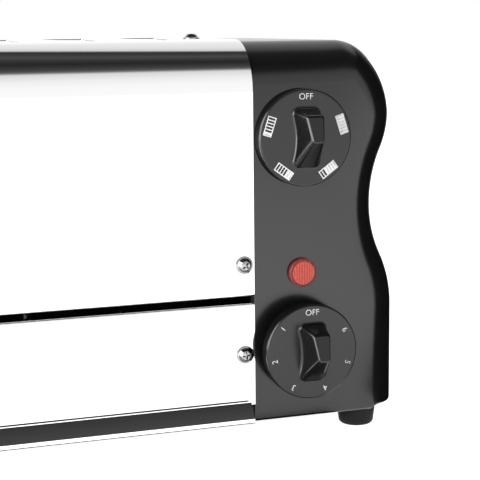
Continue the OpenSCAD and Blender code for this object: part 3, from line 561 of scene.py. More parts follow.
def cap_skin(slot=None):
    """One right-hand end cap's outer skin, centred front to rear, open at its seam."""
    shape = bmesh.new()
    radius = shape.verts.layers.float.new("radius")
    start = shape.verts.layers.float_vector.new("start")
    outward = shape.verts.layers.float_vector.new("outward")
    low_z = base_z + heel_r
    first = shape.verts.new((side_x, 0.0, low_z))
    outline = [first, line_on(shape, first, (side_x, 0.0, shoulder_z))]
    rolls = [edge_r, edge_r]
    for (x, z), turn, end_roll in side_arcs:
        start_roll = rolls[-1]
        outline += arc_on(shape, outline[-1], (x, 0.0, z), turn, ARC_STEPS)
        rolls += [start_roll + (end_roll - start_roll) * (i + 1) / ARC_STEPS for i in range(ARC_STEPS)]
    for i in range(TOP_STEPS):
        part = (i + 1) / TOP_STEPS
        outline.append(line_on(shape, outline[-1], (crest_x + (seam_x - crest_x) * part, 0.0, cap_top)))
        rolls.append(corner_roll + (seam_roll - corner_roll) * part)
    for i, vert in enumerate(outline):
        along = outline[min(i + 1, len(outline) - 1)].co - outline[max(i - 1, 0)].co
        vert[outward] = Vector((along.z, 0.0, -along.x)).normalized()
        vert[radius] = rolls[i]
        vert[start] = vert.co + Vector((0.0, rolls[i] - cap_half_d, 0.0))
    side = bmesh.ops.extrude_edge_only(shape, edges=shape.edges[:])["geom"]
    for vert in verts_of(side):
        vert.co = vert[start]
    roll_edge(shape, edges_of(side), start, outward, radius, Vector((0.0, -1.0, 0.0)), ROLL_STEPS)
    mirror_front(shape)
    for end in (FRONT, REAR):
        row = open_edges(shape, 1, end * cap_half_d)
        lower = max((v for e in row for v in e.verts), key=lambda v: v.co.x - v.co.z)
        upper = min((v for e in row for v in e.verts), key=lambda v: v.co.x)
        corner = line_on(shape, lower, (seam_x, end * cap_half_d, low_z))
        row += corner.link_edges[:] + bmesh.ops.contextual_create(shape, geom=[corner, upper])["edges"]
        if slot and end == FRONT:
            row += slot(shape)
        bmesh.ops.triangle_fill(shape, use_beauty=True, edges=row, normal=(0.0, end, 0.0))
    under = open_edges(shape, 2, low_z)
    chain = [min((v for e in under for v in e.verts), key=lambda v: v.co.x + v.co.y)]
    while len(chain) <= len(under):
        chain.append(next(e.other_vert(chain[-1]) for e in under
                          if chain[-1] in e.verts and e.other_vert(chain[-1]) not in chain))
    for i, vert in enumerate(chain):
        along = chain[min(i + 1, len(chain) - 1)].co - chain[max(i - 1, 0)].co
        vert[outward] = Vector((along.y, -along.x, 0.0)).normalized()
        vert[radius] = heel_r
        lift = heel_rise * min(max((vert.co.x - side_x + heel_start) / heel_ramp, 0.0), 1.0)
        vert.co.z += lift
        vert[start] = vert.co
    rim = roll_edge(shape, under, start, outward, radius, Vector((0.0, 0.0, -1.0)), HEEL_STEPS)
    bmesh.ops.contextual_create(shape, geom=rim)
    return shape


cap_plastic = moulding(
    "cap_plastic", tone=(0.0032, 0.0032, 0.0033), roughness=0.22, spread=0.06, grain=2600.0, strength=0.10,
    depth=0.00003, gloss=0.46)
hang_skin("right_cap", cap_skin(), cap_plastic, "cap_plastic", "right_end_cap", cap_wall)

# Left end cap
# The mirror of the right one, with no controls. The lift lever comes out through
# an upright slot with rounded ends in its front.
lever_low, lever_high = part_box("lift_lever")
lever_x = -(lever_low.x + lever_high.x) / 2
lift_travel = 45.0 * MM
slot_room = 2.0 * MM
slot_side_room = 1.5 * MM
slot_end_share = 0.95
MOUTH_STEPS = 8
slot_half_w = (lever_high.x - lever_low.x) / 2 + slot_side_room
slot_half_h = (lever_high.z - lever_low.z + lift_travel) / 2 + slot_room
slot_mid_z = lever_low.z - slot_room + slot_half_h


def round_off(shape, geom, width, steps, affect="EDGES"):
    """Rounds edges, or the corners of a face."""
    bmesh.ops.bevel(shape, geom=geom, offset=width, offset_type="OFFSET", segments=steps, profile=0.5,
                    affect=affect, material=-1)


def mouth_plate(shape, half_w, half_l, corner, place):
    """Draws a plate with rounded corners where an opening will be, and gives its face."""
    plate = bmesh.ops.create_grid(shape, x_segments=1, y_segments=1, size=1.0)["verts"]
    bmesh.ops.scale(shape, vec=(half_w, half_l, 1.0), verts=plate)
    bmesh.ops.transform(shape, matrix=place, verts=plate)
    round_off(shape, plate, corner, MOUTH_STEPS, "VERTICES")
    return next(f for f in shape.faces if len(f.verts) > 4 * MOUTH_STEPS)


def lever_slot(shape):
    """Draws the outline of the lever's slot in the front and gives its edges."""
    place = Matrix.Translation((lever_x, -cap_half_d, slot_mid_z)) @ Matrix.Rotation(math.pi / 2, 4, "X")
    outline = mouth_plate(shape, slot_half_w, slot_half_h, slot_end_share * slot_half_w, place)
    edges = outline.edges[:]
    bmesh.ops.delete(shape, geom=[outline], context="FACES_ONLY")
    return edges


shape = cap_skin(lever_slot)
bmesh.ops.scale(shape, vec=(-1.0, 1.0, 1.0), verts=shape.verts)
hang_skin("left_cap", shape, cap_plastic, "cap_plastic", "left_end_cap", cap_wall)

# Casing
# One polished stainless sheet, bent over front and rear with a wide bullnose and
# turned in at its lower edges. Each bread slot has a rolled-down rim.
casing_low, casing_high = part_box("casing_wrap")
sheet_t = 1.2 * MM
bullnose_r = 28.0 * MM
flange_d = 6.0 * MM
bend_r = 1.6 * MM
slot_w = 28.0 * MM
slot_l = 130.0 * MM
slot_r = 1.6 * MM
slot_rim = 1.0 * MM
rim_support = 0.3 * MM
rim_depth = 5.0 * MM
end_strip = 11.0 * MM
BEND_STEPS = 5
BULLNOSE_STEPS = 40
X_AXIS = (1.0, 0.0, 0.0)
case_x = casing_high.x
case_half_d = (casing_high.y - casing_low.y) / 2
front_y = -case_half_d
case_top, case_low = casing_high.z, casing_low.z
slot_pitch = (2 * (case_x - end_strip) - slot_w) / (slot_count - 1)


def sweep_along_x(shape, half):
    """Draws a sheet's profile from one end of the sheet to the other."""
    grown = bmesh.ops.extrude_edge_only(shape, edges=shape.edges[:])["geom"]
    bmesh.ops.translate(shape, vec=(2 * half, 0.0, 0.0), verts=verts_of(grown))


def bend_on(shape, vert, centre, steps):
    """Draws a quarter bend of a sheet's profile and gives its last vertex."""
    return arc_on(shape, vert, centre, -math.pi / 2, steps, X_AXIS)[-1]


def bent_front(low, top, top_r, top_d, steps):
    """A sheet with a turned-in lower edge and an upright front, bent to the rear at its top."""
    shape = bmesh.new()
    vert = shape.verts.new((-case_x, front_y + flange_d, low))
    vert = line_on(shape, vert, (-case_x, front_y + bend_r, low))
    vert = bend_on(shape, vert, (-case_x, front_y + bend_r, low + bend_r), BEND_STEPS)
    for z in (low + bend_r + support, top - top_r - support, top - top_r):
        vert = line_on(shape, vert, (-case_x, front_y, z))
    vert = bend_on(shape, vert, (-case_x, front_y + top_r, top - top_r), steps)
    line_on(shape, vert, (-case_x, front_y + top_d, top))
    sweep_along_x(shape, case_x)
    return shape


polished = metal(
    "polished_steel", tone=(0.70, 0.70, 0.70), roughness=0.055, spread=0.03, lines=(6.0, 700.0, 700.0),
    patches=9.0, strength=0.012)
shape = bent_front(case_low, case_top, bullnose_r, bullnose_r + rim_support, BULLNOSE_STEPS)
mirror_front(shape)
top_half_d = case_half_d - bullnose_r - rim_support
for x in (-case_x, case_x):
    ends = [v for v in shape.verts if abs(v.co.x - x) < MERGE and abs(abs(v.co.y) - top_half_d) < MERGE
            and abs(v.co.z - case_top) < MERGE]
    bmesh.ops.contextual_create(shape, geom=ends)
margin = slot_rim + rim_support
for i in range(slot_count):
    place = Matrix.Translation((slot_pitch * (i - (slot_count - 1) / 2), 0.0, case_top))
    mouth = mouth_plate(shape, slot_w / 2 + margin, slot_l / 2 + margin, slot_r + margin, place)
    bmesh.ops.inset_region(shape, faces=[mouth], thickness=margin, use_even_offset=True, use_boundary=True)
    fold = mouth.edges[:]
    grown = bmesh.ops.extrude_face_region(shape, geom=[mouth])["geom"]
    bmesh.ops.translate(shape, vec=(0.0, 0.0, -rim_depth), verts=verts_of(grown))
    floor_face = [g for g in grown if isinstance(g, bmesh.types.BMFace)]
    bmesh.ops.delete(shape, geom=floor_face + [mouth], context="FACES_ONLY")
    round_off(shape, fold, slot_rim, BEND_STEPS)
top_edges = [e for e in open_edges(shape, 2, case_top)
             if all(abs(v.co.y) < top_half_d + MERGE for v in e.verts)]
bmesh.ops.triangle_fill(shape, use_beauty=True, edges=top_edges, normal=(0.0, 0.0, 1.0))
hang_skin("casing", shape, polished, "polished_steel", "casing_wrap", sheet_t)


# Lower panels
# Polished sheet below the casing, front and rear, with the upper and lower edges
# turned in. A dark gap separates them from the casing; screws hold both ends.
def lower_panel(name, node, facing):
    """Builds one panel where its node is."""
    low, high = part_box(node)
    shape = bent_front(low.z, high.z, bend_r, flange_d, BEND_STEPS)
    bmesh.ops.scale(shape, vec=(1.0, -facing, 1.0), verts=shape.verts)
    hang_skin(name, shape, polished, "polished_steel", node, sheet_t)


lower_panel("front_panel", "lower_front_panel", FRONT)
lower_panel("rear_panel", "lower_rear_panel", REAR)

# Crumb tray
# A shallow pan of polished sheet that slides on the base plate. Its front is a
# bowed lip with a rolled lower hem and an upright upper edge.
tray_low, tray_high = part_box("crumb_tray")
pan_side_gap = 6.0 * MM
pan_setback = 4.0 * MM
pan_h = 6.5 * MM
pan_half = tray_high.x - pan_side_gap
pan_front = middle_y + front_y + pan_setback
pan_rear = tray_high.y
pan_floor = tray_low.z
pan_middle = Vector((0.0, (pan_rear + pan_front) / 2, pan_floor + pan_h / 2))
tray_sheet = 1.0 * MM
pan_bend = 2.0 * MM
lip_half = tray_high.x
lip_front = tray_low.y
lip_sheet = 0.6 * MM
lip_gap = 1.2 * MM
lip_edge = 0.45 * MM
lip_back = middle_y + front_y - lip_gap - lip_sheet
hem_h = 2.7 * MM
hem_r = 0.8 * MM
lip_bow = 0.06 * MM
LIP_STEPS = 8
FOLD_STEPS = 4
shape = bmesh.new()
bmesh.ops.create_cube(shape, size=1.0)
bmesh.ops.scale(shape, vec=(2 * pan_half, pan_rear - pan_front, pan_h), verts=shape.verts)
bmesh.ops.translate(shape, vec=pan_middle, verts=shape.verts)
away = [f for f in shape.faces if f.normal.z > 0.5 or f.normal.y < -0.5]
bmesh.ops.delete(shape, geom=away, context="FACES")
folds = [e for e in shape.edges if len(e.link_faces) == 2]
round_off(shape, folds, pan_bend, FOLD_STEPS)
pan = make_piece("tray_pan", shape, polished, "tray", "polished_steel", "crumb_tray")
give_wall(pan, tray_sheet)
shape = bmesh.new()
vert = shape.verts.new((-lip_half, pan_front + pan_bend, pan_floor))
vert = line_on(shape, vert, (-lip_half, lip_front + hem_r, pan_floor))
vert = bend_on(shape, vert, (-lip_half, lip_front + hem_r, pan_floor + hem_r), BEND_STEPS)
hem_end = Vector((-lip_half, lip_front, pan_floor + hem_h))
vert = line_on(shape, vert, hem_end)
lip_run = Vector((0.0, lip_back - lip_front, tray_high.z - lip_edge - hem_end.z))
lip_out = Vector((0.0, -lip_run.z, lip_run.y)).normalized()
for i in range(LIP_STEPS):
    part = (i + 1) / LIP_STEPS
    vert = line_on(shape, vert, hem_end + lip_run * part + lip_out * 4 * lip_bow * part * (1 - part))
line_on(shape, vert, vert.co + Vector((0.0, 0.0, lip_edge)))
sweep_along_x(shape, lip_half)
lip = make_piece("tray_lip", shape, polished, "tray", "polished_steel", "crumb_tray")
give_wall(lip, lip_sheet)


# Feet
# Black rubber feet with a rounded lower edge and a deep recess for the screw
# that holds each of them under an end cap.
def spun(shape, steps=64):
    """Turns the drawn profile once round the axis and closes it."""
    bmesh.ops.spin(shape, geom=shape.verts[:] + shape.edges[:], cent=(0.0, 0.0, 0.0), axis=(0.0, 0.0, 1.0),
                   angle=2 * math.pi, steps=steps, use_merge=True)
    bmesh.ops.remove_doubles(shape, verts=shape.verts, dist=MERGE)


def draw_on(shape, vert, *points):
    """Draws a turned piece's profile on from a vertex: a point is a radius and a height."""
    for r, z in points:
        vert = line_on(shape, vert, (r, 0.0, z))
    return vert


def draw(shape, first, *points):
    """Starts a turned piece's profile at a point and draws it through others."""
    return draw_on(shape, shape.verts.new((first[0], 0.0, first[1])), *points)


def add_shape(shape, made, *places):
    """Copies a bmesh into another one, once at each place, and frees it."""
    mesh = bpy.data.meshes.new("copy")
    for place in places:
        made.to_mesh(mesh)
        mesh.transform(place)
        shape.from_mesh(mesh)
    made.free()
    bpy.data.meshes.remove(mesh)


feet_low, feet_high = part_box("feet")
foot_r = 11.7 * MM
foot_tip_r = 10.2 * MM
foot_round = 2.5 * MM
recess_r = 4.8 * MM
recess_h = 7.0 * MM
recess_edge = 0.6 * MM
brim_edge = 0.4 * MM
round_turn = math.radians(86.0)
EDGE_STEPS = 6
foot_h = feet_high.z
foot_rubber = moulding(
    "foot_rubber", tone=(0.008, 0.008, 0.008), roughness=0.62, spread=0.2, grain=1600.0, strength=0.35,
    depth=0.00008, gloss=0.14)
foot = bmesh.new()
vert = draw(foot, (0.0, recess_h), (recess_r, recess_h), (recess_r, recess_edge),
            (recess_r + recess_edge, 0.0), (foot_tip_r - foot_round, 0.0))
vert = arc_on(foot, vert, (foot_tip_r - foot_round, 0.0, foot_round), round_turn, EDGE_STEPS)[-1]
draw_on(foot, vert, (foot_r, foot_h - brim_edge), (foot_r - brim_edge, foot_h), (0.0, foot_h))
spun(foot)
shape = bmesh.new()
add_shape(shape, foot, *(
    Matrix.Translation((x, y, 0.0))
    for x in (feet_low.x + foot_r, feet_high.x - foot_r)
    for y in (feet_low.y + foot_r, feet_high.y - foot_r)))
make_piece("rubber_feet", shape, foot_rubber, "chassis", "foot_rubber", "feet")

# Knobs
# Two satin black mouldings on the selector and timer shafts: a round skirt with
# a wedge-shaped grip, and the scale printed on the face in white.
skirt_h = 8.0 * MM
skirt_round = 1.1 * MM
skirt_edge = 0.4 * MM
knob_slack = 0.4 * MM
knob_wall = 2.5 * MM
hub_r = 8.0 * MM
grip_half_l = 15.6 * MM
grip_half_w = 7.3 * MM
grip_waist = 1.9 * MM
grip_corner = 3.2 * MM
grip_fillet = 1.5 * MM
crest_half_l = 7.5 * MM
crest_half_w = 4.3 * MM
crest_taper = 1.0 * MM
crest_corner = 1.9 * MM
crest_round = 1.7 * MM
crest_up = 5.6 * MM
crest_h = 16.7 * MM
crest_fall = 2.7 * MM
SIDE_STEPS = 8
CORNER_STEPS = 4
ROUND_STEPS = 4
KNOB_STEPS = 96
knob_plastic = moulding(
    "knob_plastic", tone=(0.0032, 0.0032, 0.0033), roughness=0.21, spread=0.06, grain=2600.0, strength=0.08,
    depth=0.00003, gloss=0.36)
# A copy of the knob plastic that hardly reflects: painted shade that keeps the sides of the skirts dark
shaded_skirt_plastic = moulding(
    "shaded_skirt_plastic", tone=(0.0032, 0.0032, 0.0033), roughness=0.5, spread=0.08, grain=2600.0, gloss=0.02)
print_white, tree, shader = new_material("printed_scale")
ink = scaled_noise(tree, object_place(tree), Scale=900.0, Detail=3.0)
feed(shader, Base_Color=ramp(tree, ink, (0.3, 0.40), (0.7, 0.54)),
     Roughness=ramp(tree, ink, (0.3, 0.45), (0.7, 0.6)))


def grip_outline(half_l, half_w, waist, corner):
    """Points round a grip: two sides drawn in to a waist, and four round corners."""
    straight = half_l - corner
    parts = [2 * i / SIDE_STEPS - 1 for i in range(SIDE_STEPS + 1)]
    half = [(half_w - waist * (1 - part**2), straight * part) for part in parts]
    turns = [math.pi / 2 * i / CORNER_STEPS for i in range(CORNER_STEPS + 1)]
    half += [(half_w - corner + corner * math.cos(a), straight + corner * math.sin(a)) for a in turns[1:]]
    half += [(corner - half_w - corner * math.sin(a), straight + corner * math.cos(a)) for a in turns[:-1]]
    return half + [(-u, -v) for u, v in half]


def grip_rows():
    """The rows of a grip from the skirt up: a flared foot, then the rounded edge of the inclined crest."""
    rows = []
    turns = [math.pi / 2 * i / ROUND_STEPS for i in range(ROUND_STEPS + 1)]
    for a in turns:
        flare, rise = grip_fillet * (1 - math.sin(a)), grip_fillet * (1 - math.cos(a))
        foot = grip_outline(grip_half_l + flare, grip_half_w + flare, grip_waist, grip_corner + flare)
        rows.append([Vector((u, v, rise)) for u, v in foot])
    for a in turns:
        inset, drop = crest_round * (1 - math.cos(a)), crest_round * (1 - math.sin(a))
        crest = grip_outline(crest_half_l - inset, crest_half_w - inset, 0.0, crest_corner - inset)
        rows.append([Vector((u * (1 + crest_taper / crest_half_w * v / crest_half_l), crest_up + v,
                             crest_h - drop - crest_fall * v / crest_half_l)) for u, v in crest])
    return rows


def add_grip(shape):
    """Adds a grip to a knob, row by row."""
    rows = grip_rows()
    place = shape.verts.layers.int.new("place")
    loop = []
    for i, point in enumerate(rows[0]):
        loop.append(shape.verts.new(point))
        loop[-1][place] = i
    edges = [shape.edges.new((vert, loop[i - 1])) for i, vert in enumerate(loop)]
    for row in rows[1:]:
        grown = bmesh.ops.extrude_edge_only(shape, edges=edges)["geom"]
        for vert in verts_of(grown):
            vert.co = row[vert[place]]
        edges = edges_of(grown)
    bmesh.ops.contextual_create(shape, geom=edges)


def knob_face(radius):
    """A knob's face and grip, which face +Z, with the skirt's face at height 0."""
    shape = bmesh.new()
    flat = radius - skirt_round
    vert = draw(shape, (0.0, 0.0), (flat - support, 0.0), (flat, 0.0))
    vert = arc_on(shape, vert, (flat, 0.0, -skirt_round), -math.pi / 2, EDGE_STEPS)[-1]
    draw_on(shape, vert, (radius, -skirt_round - support))
    spun(shape, KNOB_STEPS)
    add_grip(shape)
    return shape


def knob_skirt(radius, tail):
    """The side and the hollow underside of a knob's skirt, whose edge comes closer to the cap by its tail."""
    shape = bmesh.new()
    edge = -skirt_h - tail
    draw(shape, (radius, -skirt_round - support), (radius, edge + skirt_edge), (radius - skirt_edge, edge),
         (radius - knob_wall, edge), (radius - knob_wall, -knob_wall), (hub_r, -knob_wall),
         (hub_r, -skirt_h), (0.0, -skirt_h))
    spun(shape, KNOB_STEPS)
    return shape


def rear_of(node):
    """The middle of the rear of a node's box."""
    low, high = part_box(node)
    return Vector(((low.x + high.x) / 2, high.y, (low.z + high.z) / 2))


def face_front(shape, place):
    """Turns a shape that faces +Z to face the front, at a place."""
    bmesh.ops.rotate(shape, matrix=Matrix.Rotation(math.pi / 2, 3, "X"), verts=shape.verts)
    bmesh.ops.translate(shape, vec=place, verts=shape.verts)


def print_words(shape, words, height, radius, turn):
    """Adds words to a printed scale, standing on a circle with their tops outwards."""
    curve = bpy.data.curves.new("words", "FONT")
    curve.body = words
    curve.align_x = "CENTER"
    curve.align_y = "CENTER"
    curve.size = height
    curve.offset = -stroke_trim
    holder = bpy.data.objects.new("words", curve)
    scene.collection.objects.link(holder)
    mesh = bpy.data.meshes.new_from_object(holder.evaluated_get(bpy.context.evaluated_depsgraph_get()))
    before = len(shape.verts)
    shape.from_mesh(mesh)
    place = Matrix.Rotation(turn, 4, "Z") @ Matrix.Translation((0.0, radius, 0.0))
    bmesh.ops.transform(shape, matrix=place, verts=shape.verts[:][before:])
    bpy.data.objects.remove(holder)
    bpy.data.curves.remove(curve)
    bpy.data.meshes.remove(mesh)


def print_bar(shape, low, high, place):
    """Adds a printed rectangle to a scale."""
    bar = bmesh.ops.create_grid(shape, x_segments=1, y_segments=1, size=0.5)["verts"]
    bmesh.ops.scale(shape, vec=(high[0] - low[0], high[1] - low[1], 1.0), verts=bar)
    bmesh.ops.translate(shape, vec=((high[0] + low[0]) / 2, (high[1] + low[1]) / 2, 0.0), verts=bar)
    bmesh.ops.transform(shape, matrix=place, verts=bar)


def finish_scale(name, shape, node, body, face_at):
    """Lays a printed scale on a knob's face, a hair in front of it."""
    grown = bmesh.ops.extrude_face_region(shape, geom=shape.faces[:])["geom"]
    bmesh.ops.translate(shape, vec=(0.0, 0.0, ink_depth), verts=verts_of(grown))
    face_front(shape, face_at)
    make_piece(name, shape, print_white, body, "knob_plastic", node, sharp=20.0)


def place_knob(node, body, name, tail):
    """Builds one knob where its node is and gives the middle of its face."""
    low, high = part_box(node)
    face_at = rear_of(node) - Vector((0.0, skirt_h, 0.0))
    radius = (high.x - low.x) / 2 - knob_slack
    shape = knob_face(radius)
    face_front(shape, face_at)
    piece = make_piece(name, shape, knob_plastic, body, "knob_plastic", node)
    piece.modifiers.new("flat_faces", "WEIGHTED_NORMAL").keep_sharp = True
    shape = knob_skirt(radius, tail)
    face_front(shape, face_at)
    make_piece(name + "_skirt", shape, shaded_skirt_plastic, body, "knob_plastic", node)
    return face_at


scale_r = 22.0 * MM
word_size = 4.7 * MM
digit_size = 4.6 * MM
stroke_trim = 0.04 * MM
ink_depth = 0.04 * MM
timer_at = place_knob("timer_knob", "timer", "timer_dial", 0.0)
shape = bmesh.new()
print_words(shape, "OFF", word_size, scale_r, 0.0)
minutes = 6
minute_turn = math.radians(50.0)
for i in range(minutes):
    print_words(shape, str(i + 1), digit_size, scale_r, minute_turn * (i + 1))
finish_scale("timer_scale", shape, "timer_knob", "timer", timer_at)

selector_tail = 2.0 * MM
selector_at = place_knob("selector_knob", "selector", "selector_dial", selector_tail)
shape = bmesh.new()
print_words(shape, "OFF", word_size, scale_r, 0.0)
icon_l = 10.7 * MM
icon_w = 4.9 * MM
icon_line = 0.55 * MM
icon_r = 21.7 * MM
cell_gap = 0.18 * MM
icon_cells = 6
icon_low, icon_high = -icon_w / 2 + icon_line, icon_w / 2 - icon_line
step_turn = math.radians(72.0)
for i, filled in enumerate((1, 2, 4, 6)):
    place = Matrix.Rotation(step_turn * (i + 1), 4, "Z") @ Matrix.Translation((0.0, icon_r, 0.0))
    for y in (-icon_w / 2, icon_high):
        print_bar(shape, (-icon_l / 2, y), (icon_l / 2, y + icon_line), place)
    pitch = (icon_l - icon_line) / icon_cells
    for k in range(icon_cells + 1):
        x = k * pitch - icon_l / 2
        print_bar(shape, (x, icon_low), (x + icon_line, icon_high), place)
    for k in range(filled):
        x = k * pitch + icon_line - icon_l / 2
        print_bar(shape, (x + cell_gap, icon_low), (x + pitch - icon_line, icon_high), place)
finish_scale("selector_scale", shape, "selector_knob", "selector", selector_at)
# The polished casing beside this knob stays clear of its reflection
for name in ("selector_dial", "selector_dial_skirt", "selector_scale"):
    bpy.data.objects[name].visible_glossy = False

# Lever knob
# A turned black knob pressed on the end of the lift lever, with a waisted neck
# and a domed nose for the thumb.
knob_low, knob_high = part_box("lever_knob")
lever_r = (knob_high.x - knob_low.x) / 2
lever_knob_l = knob_high.y - knob_low.y
rim_r = 4.0 * MM
rim_turn = math.radians(50.0)
rim_start = 2.0 * MM
rim_at = Vector((lever_r - rim_r, 0.0, rim_start + rim_r))
nose_r = 8.0 * MM
nose_at = Vector((lever_r - nose_r, 0.0, lever_knob_l - nose_r))
neck_foot_r = 0.6 * lever_r
neck_r = 0.62 * lever_r
neck_l = 1.5 * MM
NOSE_STEPS = 10
shape = bmesh.new()
vert = draw(shape, (0.0, 0.0), (neck_foot_r, 0.0), (neck_r, neck_l),
            (rim_at.x + rim_r * math.cos(rim_turn), rim_at.z - rim_r * math.sin(rim_turn)))
vert = arc_on(shape, vert, rim_at, rim_turn, EDGE_STEPS)[-1]
vert = draw_on(shape, vert, (lever_r, nose_at.z))
vert = arc_on(shape, vert, nose_at, math.pi / 2, NOSE_STEPS)[-1]
draw_on(shape, vert, (0.0, lever_knob_l))
spun(shape)
face_front(shape, rear_of("lever_knob"))
make_piece("lever_grip", shape, knob_plastic, "lift", "knob_plastic", "lever_knob")

# Neon lamp
# A round red lens snapped into the right end cap, with a dark clear rim round a
# ribbed window that the light shows through. The rim's dark red is partly its own tone and partly painted
# shade for its shaded side.
lens_low, lens_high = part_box("lamp_lens")
lens_at = rear_of("lamp_lens")
lens_r = (lens_high.x - lens_low.x) / 2
lens_h = lens_high.y - lens_low.y
window_r = 6.5 * MM
rib_count = 9
rib_h = 0.3 * MM
rib_pitch = 2 * window_r / rib_count
rib_share = 0.42
rib_half_w = rib_pitch * rib_share
rib_reach = 0.995 * window_r
rim_gap = 0.15 * MM
rim_in = window_r + rim_gap
rim_groove = 0.7 * MM
groove_w = 0.35 * MM
crest_in = 0.55 * MM
rim_drop = 0.1 * MM
rim_round = 0.6 * MM
LENS_STEPS = 72
ROD_STEPS = 12
RIM_STEPS = 5


def red_lens(name, deep, pale):
    """Moulded red plastic with fine specks."""
    made, tree, shader = new_material(name)
    specks = scaled_noise(tree, object_place(tree), Scale=700.0, Detail=2.0)
    feed(shader, Base_Color=mix_tones(tree, specks, (*deep, 1.0), (*pale, 1.0)),
         Roughness=ramp(tree, specks, (0.3, 0.18), (0.7, 0.3)), Specular_IOR_Level=0.25)
    return made


shape = bmesh.new()
draw(shape, (0.0, lens_h - rib_h), (window_r, lens_h - rib_h), (window_r, 0.0), (0.0, 0.0))
spun(shape, LENS_STEPS)
for i in range(rib_count):
    x = rib_pitch * (i - (rib_count - 1) / 2)
    half_l = math.sqrt(window_r**2 - min(abs(x) + rib_half_w, rib_reach) ** 2)
    rod = bmesh.ops.create_cone(
        shape, cap_ends=True, segments=ROD_STEPS, radius1=rib_half_w, radius2=rib_half_w, depth=2 * half_l,
        matrix=Matrix.Rotation(math.pi / 2, 4, "X"))["verts"]
    bmesh.ops.scale(shape, vec=(1.0, 1.0, rib_h / rib_half_w), verts=rod)
    bmesh.ops.translate(shape, vec=(x, 0.0, lens_h - rib_h), verts=rod)
face_front(shape, lens_at)
window_red = red_lens("window_red", deep=(0.27, 0.034, 0.024), pale=(0.37, 0.054, 0.038))
make_piece("neon_window", shape, window_red, "chassis", "neon_red", "lamp_lens")
shape = bmesh.new()
vert = draw(shape, (rim_in, 0.0), (rim_in, lens_h - rim_groove), (rim_in + groove_w, lens_h - rim_groove),
            (rim_in + crest_in, lens_h - rim_drop), (lens_r - rim_round, lens_h - rim_drop))
round_at = (lens_r - rim_round, 0.0, lens_h - rim_drop - rim_round)
vert = arc_on(shape, vert, round_at, -math.pi / 2, RIM_STEPS)[-1]
draw_on(shape, vert, (lens_r, 0.0), (rim_in, 0.0))
spun(shape, LENS_STEPS)
face_front(shape, lens_at)
# Darker red: partly the rim's own tone, partly painted shade for the lens's shaded side
rim_red = red_lens("rim_red", deep=(0.10, 0.016, 0.016), pale=(0.15, 0.028, 0.026))
make_piece("neon_rim", shape, rim_red, "chassis", "neon_red", "lamp_lens")

# Cable gland
# A black nylon gland on the rear of the right end cap: a hexagon against the
# cap and a ribbed clamping nut with a round hole for the supply cord.
gland_low, gland_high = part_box("cable_gland")
gland_x, gland_z = (gland_low.x + gland_high.x) / 2, (gland_low.z + gland_high.z) / 2
gland_seat = cap_high.y
hex_r = 11.5 * MM
hex_l = 7.0 * MM
hex_edge = 0.6 * MM
nut_r = 9.0 * MM
nut_l = gland_high.y - gland_seat - hex_l
nut_sunk = 3.0 * MM
nut_foot = 0.2 * MM
nut_round = 2.0 * MM
bore_r = 4.0 * MM
bore_edge = 0.8 * MM
rib_total = 16
rib_deep, rib_wide = 1.0 * MM, 1.3 * MM
rib_short = 3.5 * MM
rib_sunk = 0.1 * MM
rib_at = Matrix.Translation((nut_r - rib_sunk, 0.0, (nut_l - nut_sunk) / 2))
NUT_STEPS = 48
gland_black = moulding(
    "gland_black", tone=(0.014, 0.014, 0.015), roughness=0.42, spread=0.12, grain=1500.0)
shape = bmesh.new()
bmesh.ops.create_cone(shape, cap_ends=True, segments=6, radius1=hex_r, radius2=hex_r, depth=hex_l,
                      matrix=Matrix.Translation((0.0, 0.0, hex_l / 2)))
round_off(shape, shape.edges[:], hex_edge, 2)
nut = bmesh.new()
vert = draw(nut, (bore_r, -nut_sunk), (bore_r, nut_l - bore_edge), (bore_r + bore_edge, nut_l),
            (nut_r - nut_round, nut_l))
vert = arc_on(nut, vert, (nut_r - nut_round, 0.0, nut_l - nut_round), -math.pi / 2, EDGE_STEPS)[-1]
draw_on(nut, vert, (nut_r, -nut_foot), (nut_r, -nut_sunk))
spun(nut, NUT_STEPS)
for i in range(rib_total):
    rib = bmesh.ops.create_cube(nut, size=1.0)["verts"]
    bmesh.ops.scale(nut, vec=(rib_deep, rib_wide, nut_l - rib_short), verts=rib)
    bmesh.ops.transform(nut, matrix=Matrix.Rotation(2 * math.pi * i / rib_total, 4, "Z") @ rib_at, verts=rib)
add_shape(shape, nut, Matrix.Translation((0.0, 0.0, hex_l)))
bmesh.ops.rotate(shape, matrix=Matrix.Rotation(-math.pi / 2, 3, "X"), verts=shape.verts)
bmesh.ops.translate(shape, vec=(gland_x, gland_seat, gland_z), verts=shape.verts)
make_piece("cord_gland", shape, gland_black, "chassis", "gland_black", "cable_gland")

# Screws
# Chromed pan-head screws with a cross recess: two at each end of the front and
# the rear, and one at each end of the top.
screw_r = 4.3 * MM
flange_r = 5.0 * MM
flange_h = 0.45 * MM
dome_r = 4.4 * MM
dome_foot = 4.0 * MM
dome_top = 2.3 * MM
head_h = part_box("top_screws")[1].z - case_top
cross_half_l = 2.1 * MM
cross_half_w = 0.55 * MM
cross_depth = 1.5 * MM
cross_taper = 0.55
head_sunk = 0.5 * MM
side_twist = math.radians(25.0)
top_twist = math.radians(50.0)
twist_step = math.radians(37.0)
HEAD_STEPS = 40
DOME_STEPS = 10
dome_turn = math.acos(dome_top / dome_r) - math.acos(dome_foot / dome_r)
dome_z = head_h - math.sqrt(dome_r**2 - dome_top**2)
dome_foot_z = dome_z + math.sqrt(dome_r**2 - dome_foot**2)
screw_chrome = metal(
    "screw_chrome", tone=(0.27, 0.27, 0.27), roughness=0.14, spread=0.06, lines=(200.0, 200.0, 200.0),
    strength=0.03)
dress(screw_chrome, "cap_screws", "foot_screws")


